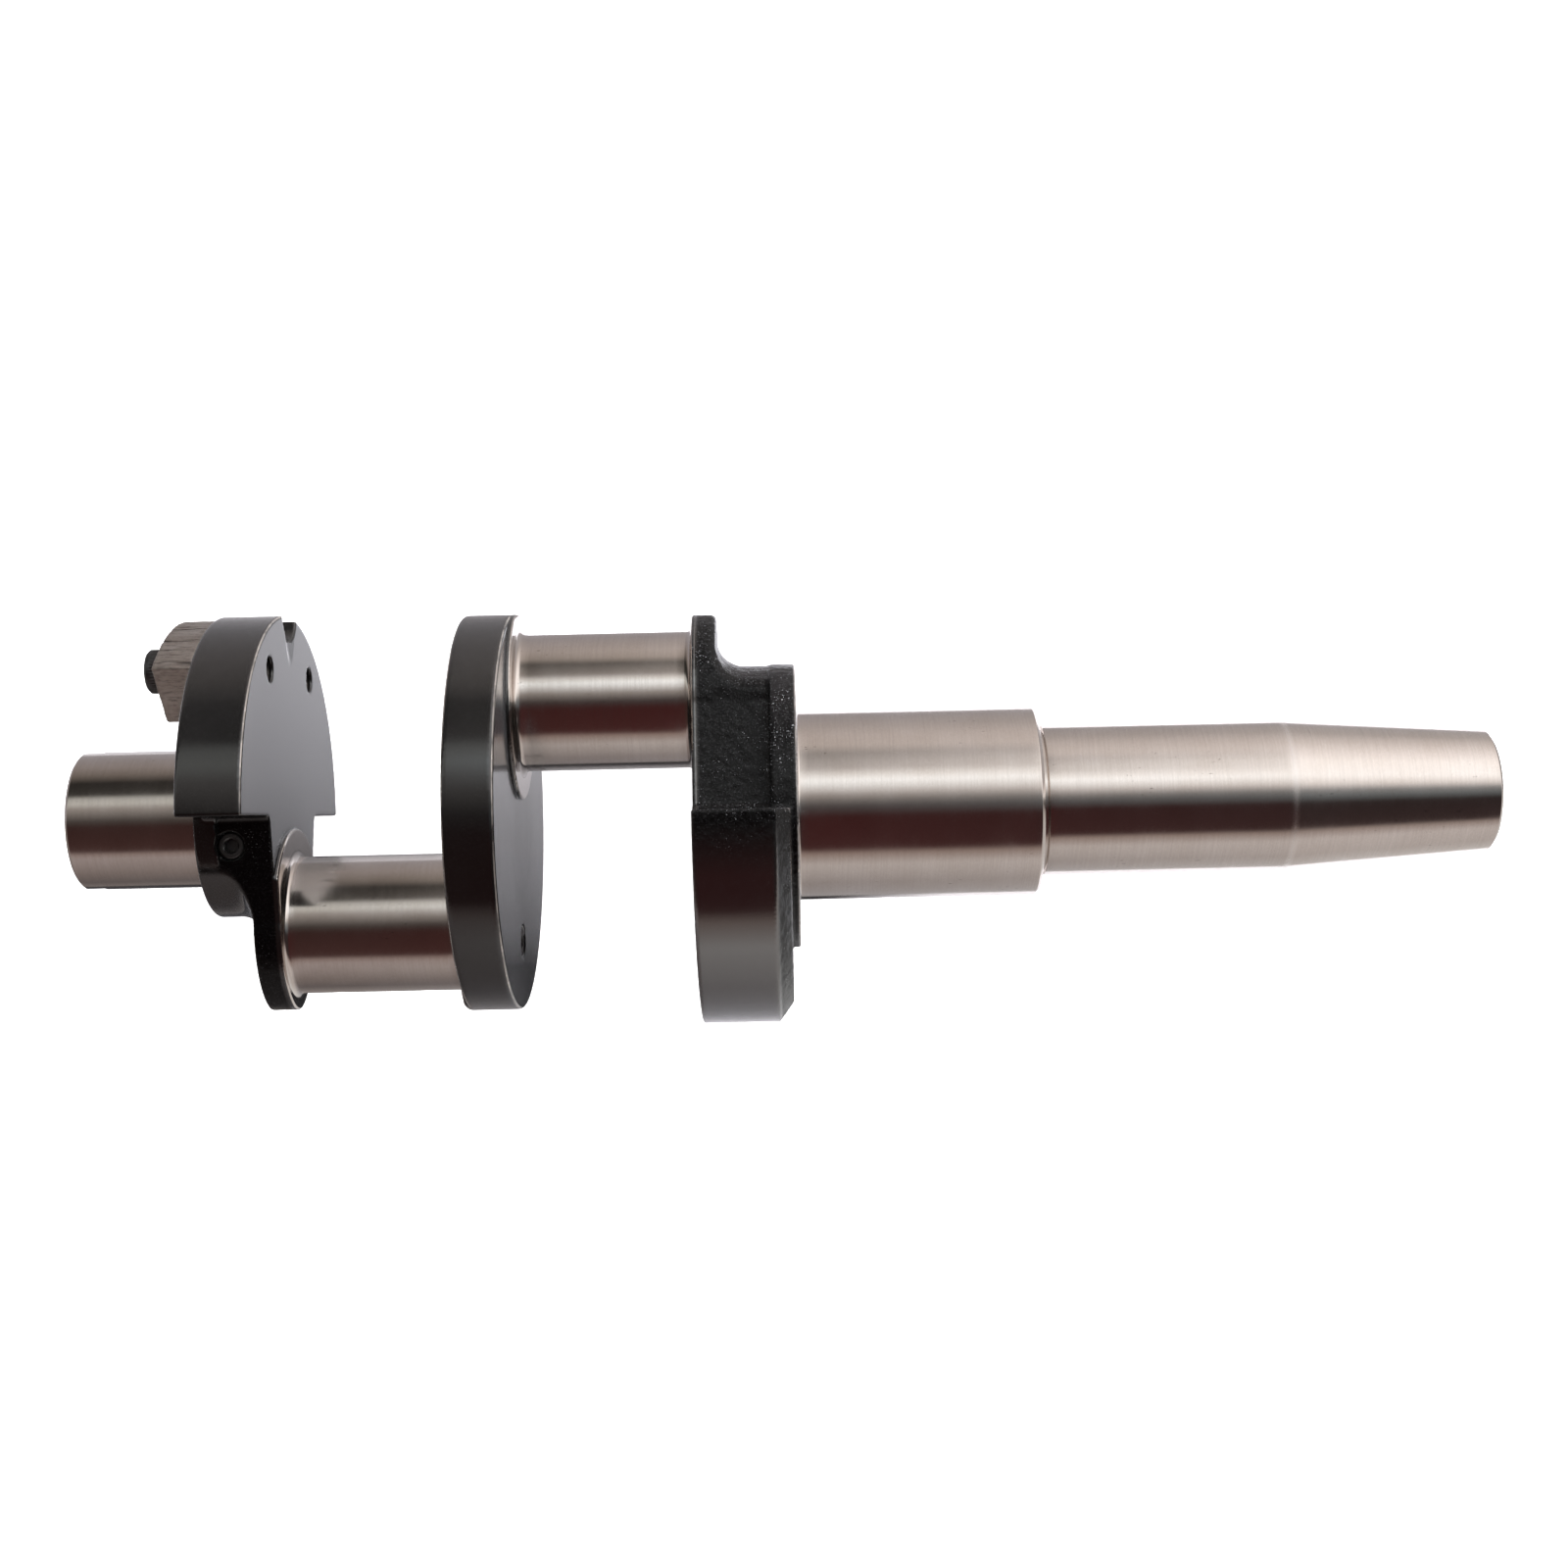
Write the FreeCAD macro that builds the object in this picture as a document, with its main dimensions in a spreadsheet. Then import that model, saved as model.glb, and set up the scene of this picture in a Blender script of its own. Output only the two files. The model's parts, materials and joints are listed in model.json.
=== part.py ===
import FreeCAD, Part
import math
import os

import Sketcher

# Four-cylinder V compressor crankshaft: two crankpins at 180 degrees, a round centre disc, counterweighted
# webs, and a tapered drive end. The crank axis is X and points to the drive end; Z is up with the crank
# lying on its side. The origin is on the crank axis, at the middle of the drive-end main journal.
# Crankpin 1, next to the oil pump end, is on the -Y side and crankpin 2 on the +Y side.

doc = FreeCAD.newDocument("crankshaft")
Vector = FreeCAD.Vector

# ---------------------------------------------------------------------------------------------- sheet

DIMENSIONS = [
    # throw and crankpins
    ("crank_throw", 25.4, "half of the 50.8 mm stroke"),
    ("pin_radius", 16.0, "both crankpins"),
    ("pin_length", 40.3, "ground length between the thrust pads"),
    ("pin_fillet", 1.5, "root fillet of crankpins and journals"),
    ("pad_radius", 22.6, "thrust pad round each end of a crankpin"),
    ("pad_height", 0.95, "pads stand this proud of the relieved web face"),
    # pump-end main journal
    ("pump_journal_radius", 16.1, ""),
    ("pump_journal_length", 31.2, "end face to hub face"),
    ("end_chamfer", 0.7, "chamfer on ground ends"),
    ("pump_bore_radius", 6.35, "oil pump shaft bore"),
    ("pump_bore_depth", 14.0, ""),
    ("drive_slot_width", 6.0, "slot that drives the oil pump"),
    ("drive_slot_depth", 5.0, ""),
    # pump-end web
    ("pump_web_thickness", 14.4, ""),
    ("half_disc_radius", 47.1, ""),
    ("half_disc_ledge", 0.2, "flat of the half disc above the crank axis"),
    ("half_disc_edge", 0.9, "corner radius of the half disc's rim"),
    ("hub_radius", 23.2, "round hub on the outer face"),
    ("hub_height", 2.8, "hub stands proud of the half disc"),
    ("hub_length", 5.2, "round part of the hub"),
    ("pump_plate", 5.5, "thickness of the web behind crankpin 1"),
    ("web_fillet", 6.5, "concave fillet from hub to plate"),
    ("neck_root", 22.4, "half width of the neck at the crank axis"),
    ("neck_tip", 17.4, "half width of either neck beside its crankpin"),
    ("neck_tip_offset", 24.0, "where the neck's straight sides end"),
    ("neck_start", 2.0, "either neck runs this far under its half disc"),
    ("boss_side_radius", 22.7, "side arcs of the boss behind a crankpin"),
    ("boss_tip_radius", 11.9, "arc at the tip of the boss"),
    ("boss_tip_offset", 44.0, "where the side arcs meet the tip arc"),
    ("boss_tip_half", 5.4, ""),
    ("neck_fillet", 1.7, "between a neck and its half disc"),
    ("boss_edge", 1.4, "rounded outer edge of the boss behind crankpin 2"),
    ("notch_radius", 6.8, "balance notch in the top of the half disc"),
    ("notch_centre", 48.1, ""),
    ("scallop_radius", 10.0, "slanting balance cut under the notch"),
    ("scallop_tip", 35.2, "where the balance cut runs out"),
    ("scallop_angle", 17.0, "slant of the balance cut"),
    # centre disc
    ("disc_radius", 46.15, ""),
    ("disc_thickness", 11.3, "between the relieved faces"),
    ("disc_edge", 0.9, "corner radius of the disc's rim"),
    # drive-end web
    ("drive_web_thickness", 21.2, ""),
    ("counterweight_radius", 50.3, ""),
    ("counterweight_ledge", 0.5, "flat of the counterweight below the crank axis"),
    ("counterweight_bevel", 4.6, "radial size of the bevel at the outer rim"),
    ("counterweight_bevel_width", 3.4, "axial size of the bevel"),
    ("drive_hub_radius", 33.0, ""),
    ("drive_plate", 4.8, "thickness of the web behind crankpin 2"),
    ("drive_neck_root", 21.2, "half width of the neck at the crank axis"),
    ("collar_radius", 33.2, "thrust collar"),
    ("collar_height", 1.7, "collar stands proud of the web"),
    ("collar_width", 6.0, ""),
    # drive-end journal, seal shaft and taper
    ("main_radius", 22.1, ""),
    ("main_length", 55.6, "thrust face to shoulder"),
    ("main_chamfer", 0.8, ""),
    ("relief_depth", 0.5, "grinding relief beside the shoulder"),
    ("relief_width", 1.2, ""),
    ("seal_radius", 17.6, "shaft seal journal"),
    ("seal_length", 57.3, ""),
    ("taper_length", 48.2, ""),
    ("taper_radius", 14.45, "small end of the taper"),
    ("end_thread_radius", 4.25, "M10 tapping bore in the small end"),
    ("end_thread_depth", 26.0, ""),
    ("end_countersink", 6.0, "mouth radius of the centre countersink"),
    # bolted counterweight block
    ("block_thickness", 8.7, ""),
    ("block_outer_radius", 46.3, ""),
    ("block_inner_radius", 30.1, ""),
    ("block_half_angle", 44.5, "degrees each side of the half disc's centre line"),
    ("screw_circle", 38.5, "distance of the screws from the crank axis"),
    ("screw_angle", 30.0, "degrees each side of the half disc's centre line"),
    ("screw_head_radius", 5.0, "M6 socket head"),
    ("screw_head_height", 6.0, ""),
    ("screw_socket", 5.0, "across flats"),
    ("screw_socket_depth", 3.0, ""),
    ("screw_shank_radius", 3.0, ""),
    ("screw_length", 16.0, "under the head"),
    ("screw_root_radius", 2.6, "thread root, stands for the thread"),
    ("spotface_radius", 5.4, ""),
    ("spotface_depth", 1.85, ""),
    ("clearance_radius", 3.3, "screw hole through the block"),
    ("tapped_radius", 2.7, "tapped holes through the half disc"),
    # oil galleries and their plugs
    ("axial_gallery_radius", 4.5, "along the pump-end journal"),
    ("gallery_radius", 2.25, "slanting, cross and radial galleries"),
    ("pin_gallery_radius", 3.0, "along the crankpins"),
    ("pin_gallery_offset", 30.6, "distance from the crank axis"),
    ("slant_outset", 4.0, "the slanting gallery's drill enters from this far outside the journal"),
    ("oil_hole_radius", 2.0, ""),
    ("plug_radius", 3.75, "screwed plugs in the centre disc"),
    ("plug_length", 6.0, ""),
    ("plug_socket", 3.0, "across flats"),
    ("plug_socket_depth", 2.6, ""),
    ("plug_sink", 0.3, "plugs sit this far below the surface"),
    ("hub_plug_radius", 3.1, "plug in the side of the pump-end hub"),
    ("hub_plug_offset", 6.3, "below the crank axis"),
    ("hub_plug_level", 20.4, "its outer face, measured from the crank axis"),
    ("fit_gap", 0.05, "radial gap round screws and plugs"),
]

# Places along the crank axis, worked out from the lengths above.
STATIONS = [
    ("x_thrust", "-main_length / 2"),
    ("x_drive_face", "x_thrust - collar_height"),
    ("x_drive_inner", "x_drive_face - drive_web_thickness"),
    ("x_drive_pad", "x_drive_inner - pad_height"),
    ("x_disc_pad_right", "x_drive_pad - pin_length"),
    ("x_disc_right", "x_disc_pad_right - pad_height"),
    ("x_disc_left", "x_disc_right - disc_thickness"),
    ("x_disc_pad_left", "x_disc_left - pad_height"),
    ("x_pump_pad", "x_disc_pad_left - pin_length"),
    ("x_pump_inner", "x_pump_pad - pad_height"),
    ("x_pump_face", "x_pump_inner - pump_web_thickness"),
    ("x_hub", "x_pump_face - hub_height"),
    ("x_pump_end", "x_hub - pump_journal_length"),
    ("x_pump_plate", "x_pump_inner - pump_plate"),
    ("x_drive_plate", "x_drive_inner + drive_plate"),
    ("x_main_end", "x_thrust + main_length"),
    ("x_taper", "x_main_end + seal_length"),
    ("x_end", "x_taper + taper_length"),
    ("x_block", "x_pump_face - block_thickness"),
    ("x_disc_middle", "(x_disc_left + x_disc_right) / 2"),
    ("x_hub_gallery", "x_pump_inner - 9.3"),
    ("x_main_oil", "x_thrust + main_length * 0.35"),
    ("drive_slant", "(x_drive_pad - pin_length / 4 - x_main_oil) / (crank_throw + pin_radius + main_radius)"),
]

sheet = doc.addObject("Spreadsheet::Sheet", "Dimensions")


def fill_sheet():
    """Write the driving dimensions and then the worked-out stations, one row each."""
    row = 1
    for alias, value, note in DIMENSIONS:
        sheet.set("A%d" % row, alias)
        sheet.set("B%d" % row, str(value))
        sheet.set("C%d" % row, note)
        sheet.setAlias("B%d" % row, alias)
        row += 1
    for alias, formula in STATIONS:
        sheet.set("A%d" % row, alias)
        sheet.set("B%d" % row, "=" + formula)
        sheet.setAlias("B%d" % row, alias)
        row += 1
    doc.recompute()


fill_sheet()
ALIASES = {row[0] for row in DIMENSIONS} | {row[0] for row in STATIONS}


def bound(formula):
    """Turn a formula of aliases into an expression on the sheet."""
    words = []
    word = ""
    for letter in formula + " ":
        if letter.isalnum() or letter == "_":
            word += letter
            continue
        words.append("Dimensions." + word if word in ALIASES else word)
        words.append(letter)
        word = ""
    return "".join(words).strip()


def value(formula):
    """The present value of a formula of aliases, used to place geometry before it is bound."""
    return float(sheet.evalExpression(bound(formula)))


# ------------------------------------------------------------------------------------- sketch helpers

def attach(sketch, body, plane, offset):
    """Put a sketch on one of its body's origin planes, moved along the plane's normal."""
    role = [feature for feature in body.Origin.OriginFeatures if feature.Role == plane][0]
    sketch.AttachmentSupport = [(role, "")]
    sketch.MapMode = "FlatFace"
    if offset:
        sketch.setExpression("AttachmentOffset.Base.z", bound(offset))


def pin_down(sketch, geometry, end, across, up):
    """Fix a point of the sketch at (across, up), two formulas of aliases."""
    for kind, formula, axis in (("DistanceX", across, -2), ("DistanceY", up, -1)):
        if formula == "0":
            sketch.addConstraint(Sketcher.Constraint("PointOnObject", geometry, end, axis))
            continue
        index = sketch.addConstraint(
            Sketcher.Constraint(kind, -1, 1, geometry, end, value(formula)))
        sketch.setExpression("Constraints[%d]" % index, bound(formula))


def outline(sketch, points):
    """A closed outline. Each point is (across, up) or, where an arc follows it, (across, up, radius);
    a positive radius turns the arc counter-clockwise about its centre."""
    places = [Vector(value(point[0]), value(point[1]), 0) for point in points]
    count = len(points)
    for here in range(count):
        start, end = places[here], places[(here + 1) % count]
        if len(points[here]) == 2:
            sketch.addGeometry(Part.LineSegment(start, end))
            continue
        radius = value(points[here][2])
        sketch.addGeometry(arc_between(start, end, radius))
        index = sketch.addConstraint(Sketcher.Constraint("Radius", here, abs(radius)))
        sketch.setExpression("Constraints[%d]" % index, bound("abs(%s)" % points[here][2]))
    clockwise = [len(point) == 3 and value(point[2]) < 0 for point in points]
    for here in range(count):
        after = (here + 1) % count
        first_end = 1 if clockwise[here] else 2
        next_start = 2 if clockwise[after] else 1
        sketch.addConstraint(Sketcher.Constraint("Coincident", here, first_end, after, next_start))
        pin_down(sketch, after, next_start, points[after][0], points[after][1])


def arc_between(start, end, radius):
    """The shorter arc from start to end, counter-clockwise for a positive radius."""
    chord = end - start
    middle = (start + end) * 0.5
    rise = math.sqrt(max(radius ** 2 - (chord.Length / 2) ** 2, 0.0))
    left = Vector(-chord.y, chord.x, 0).normalize()
    centre = middle + left * (rise if radius > 0 else -rise)
    circle = Part.Circle(centre, Vector(0, 0, 1), abs(radius))
    if radius < 0:
        start, end = end, start
    first = math.atan2(start.y - centre.y, start.x - centre.x)
    last = math.atan2(end.y - centre.y, end.x - centre.x)
    return Part.ArcOfCircle(circle, first, last if last > first else last + 2 * math.pi)


def circle(sketch, across, up, radius):
    """A circle with its centre at (across, up)."""
    centre = Vector(value(across), value(up), 0)
    index = sketch.addGeometry(Part.Circle(centre, Vector(0, 0, 1), value(radius)))
    pin_down(sketch, index, 3, across, up)
    size = sketch.addConstraint(Sketcher.Constraint("Radius", index, value(radius)))
    sketch.setExpression("Constraints[%d]" % size, bound(radius))


def new_sketch(body, name, plane, offset=""):
    sketch = body.newObject("Sketcher::SketchObject", name)
    attach(sketch, body, plane, offset)
    return sketch


def check_change(body, name, grew, before):
    """Stop when a feature did not change the solid the way it should."""
    doc.recompute()
    after = body.Shape.Volume
    if (grew and after <= before + 1e-6) or (not grew and after >= before - 1e-6):
        raise RuntimeError("%s did not change the solid: %.3f to %.3f" % (name, before, after))


def feature(body, kind, name, profile, grew, **sizes):
    """Add a PartDesign feature on a sketch. Sizes are bound to formulas, or set when they are flags."""
    before = body.Shape.Volume if body.Tip else 0.0
    made = body.newObject("PartDesign::" + kind, name)
    made.Profile = profile
    for key, setting in sizes.items():
        if isinstance(setting, str) and key in ("Length", "Angle"):
            made.setExpression(key, bound(setting))
        else:
            setattr(made, key, setting)
    profile.Visibility = False
    check_change(body, name, grew, before)
    return made


def pad(body, name, draw, offset, length):
    """Pad an outline drawn across the crank axis, from offset towards +X."""
    sketch = new_sketch(body, name + "Sketch", "YZ_Plane", offset)
    draw(sketch)
    return feature(body, "Pad", name, sketch, True, Length=length)


def pocket(body, name, draw, offset, length, reversed_cut=True):
    """Pocket an outline drawn across the crank axis, from offset towards +X unless told otherwise."""
    sketch = new_sketch(body, name + "Sketch", "YZ_Plane", offset)
    draw(sketch)
    return feature(body, "Pocket", name, sketch, False, Length=length, Reversed=reversed_cut)


def turn(body, kind, name, points, axis_offset=""):
    """Revolve an outline in the XY plane about a line parallel to X; axis_offset is the line's Y."""
    sketch = new_sketch(body, name + "Sketch", "XY_Plane")
    outline(sketch, points)
    axis = (sketch, ["H_Axis"])
    if axis_offset:
        index = sketch.addGeometry(Part.LineSegment(Vector(-10, value(axis_offset), 0),
                                                    Vector(10, value(axis_offset), 0)), True)
        pin_down(sketch, index, 1, "0 - pin_length", axis_offset)
        pin_down(sketch, index, 2, "pin_length", axis_offset)
        axis = (sketch, ["Axis0"])
    return feature(body, kind, name, sketch, kind == "Revolution", ReferenceAxis=axis, Angle=360.0)



def round_edges(body, name, radius, wanted):
    """Fillet the edges of the body's solid that the test accepts."""
    before = body.Shape.Volume
    base = body.Tip
    names = ["Edge%d" % (index + 1) for index, edge in enumerate(base.Shape.Edges) if wanted(edge)]
    made = body.newObject("PartDesign::Fillet", name)
    made.Base = (base, names)
    made.setExpression("Radius", bound(radius))
    doc.recompute()
    if not names or abs(body.Shape.Volume - before) < 1e-6:
        raise RuntimeError("%s rounded nothing" % name)


def bore(body, name, radius, length, base, direction):
    """Drill a round hole of the given length from base, three formulas, along direction."""
    before = body.Shape.Volume
    made = body.newObject("PartDesign::SubtractiveCylinder", name)
    made.setExpression("Radius", bound(radius))
    made.setExpression("Height", bound(length))
    made.Placement = FreeCAD.Placement(Vector(*[value(formula) for formula in base]),
                                       FreeCAD.Rotation(Vector(0, 0, 1), direction))
    for letter, formula in zip("xyz", base):
        made.setExpression("Placement.Base." + letter, bound(formula))
    check_change(body, name, False, before)


def new_body(label):
    body = doc.addObject("PartDesign::Body", label)
    body.Label = label
    return body


# -------------------------------------------------------------------------------------- crank casting

casting = new_body("crank_casting")
WIDE = "2 * counterweight_radius"
PIN_1, PIN_2 = "0 - crank_throw", "crank_throw"


def draw_relief(pin_centre):
    """The web face outside a crankpin's thrust pad."""
    def draw(sketch):
        circle(sketch, "0", "0", WIDE)
        circle(sketch, pin_centre, "0", "pad_radius")
    return draw


def draw_neck(side, root, ledge):
    """The neck and boss that carry a crankpin, on the +Y side or the -Y side of the crank axis. It flares
    into the flat of its half disc and runs on under it."""
    away = "" if side > 0 else "0 - "
    back, first, last = ("0 - ", "0 - ", "") if side > 0 else ("", "", "0 - ")
    corner = ledge + (" + neck_fillet" if side > 0 else " - neck_fillet")
    flare = "(%s + neck_fillet)" % root

    def draw(sketch):
        outline(sketch, [
            (back + "neck_start", first + flare),
            (ledge, first + flare, "0 - neck_fillet"),
            (corner, first + root),
            (away + "neck_tip_offset", first + "neck_tip", "boss_side_radius"),
            (away + "boss_tip_offset", first + "boss_tip_half", "boss_tip_radius"),
            (away + "boss_tip_offset", last + "boss_tip_half", "boss_side_radius"),
            (away + "neck_tip_offset", last + "neck_tip"),
            (corner, last + root, "0 - neck_fillet"),
            (ledge, last + flare),
            (back + "neck_start", last + flare),
        ])
    return draw


def round_boss_tip(name, radius, plate):
    """Round the outer edge of the boss behind a crankpin."""
    sizes, place = (value("boss_side_radius"), value("boss_tip_radius")), value(plate)
    round_edges(casting, name, radius,
                lambda edge: edge.Curve.TypeId == "Part::GeomCircle" and
                min(abs(edge.Curve.Radius - size) for size in sizes) < 1e-3 and
                abs(edge.Vertexes[0].X - place) < 1e-3 and abs(edge.Vertexes[-1].X - place) < 1e-3)


def draw_half_disc(side, radius, ledge):
    """Half a disc whose flat stands a little to one side of the crank axis."""
    half = "sqrt(%s ^ 2 - %s ^ 2)" % (radius, ledge)
    flat = ledge if side > 0 else "0 - " + ledge
    start, end = ("0 - " + half, half) if side > 0 else (half, "0 - " + half)

    def draw(sketch):
        outline(sketch, [(flat, start, radius), (flat, end)])
    return draw


def draw_disc(radius):
    def draw(sketch):
        circle(sketch, "0", "0", radius)
    return draw


def make_centre_disc():
    """The round disc between the crankpins, with a thrust pad on each face."""
    pad(casting, "CentreDisc", draw_disc("disc_radius"), "x_disc_pad_left",
        "disc_thickness + 2 * pad_height")
    pocket(casting, "DiscReliefLeft", draw_relief(PIN_1), "x_disc_pad_left", "pad_height")
    pocket(casting, "DiscReliefRight", draw_relief(PIN_2), "x_disc_right", "pad_height")
    radius = value("disc_radius")
    round_edges(casting, "DiscRim", "disc_edge",
                lambda edge: edge.Curve.TypeId == "Part::GeomCircle" and
                abs(edge.Curve.Radius - radius) < 1e-3)


def make_crankpin(name, axis_offset, left, right):
    """A ground crankpin with root fillets, from the pad at left to the pad at right."""
    surface = axis_offset + " + pin_radius"
    flare = surface + " + pin_fillet"
    turn(casting, "Revolution", name, [
        (left + " - pad_height", axis_offset),
        (left + " - pad_height", flare),
        (left, flare, "pin_fillet"),
        (left + " + pin_fillet", surface),
        (right + " - pin_fillet", surface, "pin_fillet"),
        (right, flare),
        (right + " + pad_height", flare),
        (right + " + pad_height", axis_offset),
    ], axis_offset)


def make_pump_web():
    """Neck and boss behind crankpin 1, thinned round the hub, then the half disc opposite the pin."""
    pad(casting, "PumpNeck", draw_neck(-1, "neck_root", "half_disc_ledge"), "x_hub", "x_pump_pad - x_hub")
    turn(casting, "Groove", "PumpNeckRelief", [
        ("x_hub - web_fillet", "hub_radius"),
        ("x_pump_plate - web_fillet", "hub_radius", "web_fillet"),
        ("x_pump_plate", "hub_radius + web_fillet"),
        ("x_pump_plate", WIDE),
        ("x_hub - web_fillet", WIDE),
    ])
    pad(casting, "PumpHub", draw_disc("hub_radius"), "x_hub", "hub_length")
    pad(casting, "HalfDisc", draw_half_disc(1, "half_disc_radius", "half_disc_ledge"), "x_pump_face",
        "x_pump_pad - x_pump_face")
    pocket(casting, "PumpWebRelief", draw_relief(PIN_1), "x_pump_inner", "pad_height")
    radius = value("half_disc_radius")
    round_edges(casting, "HalfDiscRim", "half_disc_edge",
                lambda edge: edge.Curve.TypeId == "Part::GeomCircle" and
                abs(edge.Curve.Radius - radius) < 1e-3)


def make_drive_web():
    """Neck and boss behind crankpin 2, then the thrust collar and the counterweight."""
    pad(casting, "DriveNeck", draw_neck(1, "drive_neck_root", "0 - counterweight_ledge"), "x_drive_pad",
        "x_drive_face - x_drive_pad")
    turn(casting, "Groove", "DriveNeckRelief", [
        ("x_drive_plate", "drive_hub_radius + web_fillet", "web_fillet"),
        ("x_drive_plate + web_fillet", "drive_hub_radius"),
        ("x_thrust + web_fillet", "drive_hub_radius"),
        ("x_thrust + web_fillet", WIDE),
        ("x_drive_plate", WIDE),
    ])
    pocket(casting, "DriveWebRelief", draw_relief(PIN_2), "x_drive_pad", "pad_height")
    round_boss_tip("DriveBossTip", "boss_edge", "x_drive_plate")
    pad(casting, "ThrustCollar", draw_disc("collar_radius"), "x_thrust - collar_width", "collar_width")
    pad(casting, "Counterweight", draw_half_disc(-1, "counterweight_radius", "counterweight_ledge"),
        "x_drive_inner", "drive_web_thickness")
    turn(casting, "Groove", "CounterweightBevel", [
        ("x_drive_face - counterweight_bevel_width", "counterweight_radius"),
        ("x_drive_face", "counterweight_radius - counterweight_bevel"),
        ("x_drive_face + pad_height", "counterweight_radius - counterweight_bevel"),
        ("x_drive_face + pad_height", "counterweight_radius + pad_height"),
        ("x_drive_face - counterweight_bevel_width", "counterweight_radius + pad_height"),
    ])


def make_journals():
    """The ground shafts on the crank axis: pump-end journal, then everything past the drive-end web."""
    turn(casting, "Revolution", "PumpJournal", [
        ("x_pump_end", "0"),
        ("x_pump_end", "pump_journal_radius - end_chamfer"),
        ("x_pump_end + end_chamfer", "pump_journal_radius"),
        ("x_hub - pin_fillet", "pump_journal_radius", "pin_fillet"),
        ("x_hub", "pump_journal_radius + pin_fillet"),
        ("x_hub + hub_height", "pump_journal_radius + pin_fillet"),
        ("x_hub + hub_height", "0"),
    ])
    turn(casting, "Revolution", "DriveShaft", [
        ("x_thrust - collar_width", "0"),
        ("x_thrust - collar_width", "main_radius + pin_fillet"),
        ("x_thrust", "main_radius + pin_fillet", "pin_fillet"),
        ("x_thrust + pin_fillet", "main_radius"),
        ("x_main_end - main_chamfer", "main_radius"),
        ("x_main_end", "main_radius - main_chamfer"),
        ("x_main_end", "seal_radius - relief_depth"),
        ("x_main_end + relief_width", "seal_radius - relief_depth"),
        ("x_main_end + relief_width", "seal_radius"),
        ("x_taper", "seal_radius"),
        ("x_end - end_chamfer", "taper_radius"),
        ("x_end", "taper_radius - end_chamfer"),
        ("x_end", "0"),
    ])


def make_end_details():
    """Oil pump bore and drive slot at the pump end, tapped centre hole in the taper."""
    bore(casting, "PumpBore", "pump_bore_radius", "pump_bore_depth", ("x_pump_end", "0", "0"),
         Vector(1, 0, 0))

    def draw_slot(sketch):
        half = "drive_slot_width / 2"
        outline(sketch, [("0 - pump_journal_radius", "0 - " + half), ("pump_journal_radius", "0 - " + half),
                         ("pump_journal_radius", half), ("0 - pump_journal_radius", half)])
    pocket(casting, "DriveSlot", draw_slot, "x_pump_end", "drive_slot_depth")
    turn(casting, "Groove", "EndThread", [
        ("x_end - end_thread_depth - end_thread_radius / 2", "0"),
        ("x_end - end_thread_depth", "end_thread_radius"),
        ("x_end - (end_countersink - end_thread_radius) * 1.7", "end_thread_radius"),
        ("x_end", "end_countersink"),
        ("x_end", "0"),
    ])


def make_balance_cuts():
    """The notch and slanting cut at the top of the half disc, and its two tapped holes."""
    def draw_notch(sketch):
        circle(sketch, "notch_centre", "0", "notch_radius")
    pocket(casting, "BalanceNotch", draw_notch, "x_pump_face", "pump_web_thickness")

    slant = math.radians(value("scallop_angle"))
    along = Vector(-math.sin(slant), math.cos(slant), 0)
    bore(casting, "BalanceScallop", "scallop_radius", "2 * scallop_radius",
         ("x_pump_inner + scallop_radius * cos(scallop_angle)",
          "scallop_tip + scallop_radius * sin(scallop_angle)", "0"), along)

    def draw_tapped_holes(sketch):
        for sign in ("", "0 - "):
            circle(sketch, "screw_circle * cos(screw_angle)", sign + "screw_circle * sin(screw_angle)",
                   "tapped_radius")
    pocket(casting, "TappedHoles", draw_tapped_holes, "x_pump_face", "pump_web_thickness")


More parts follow.
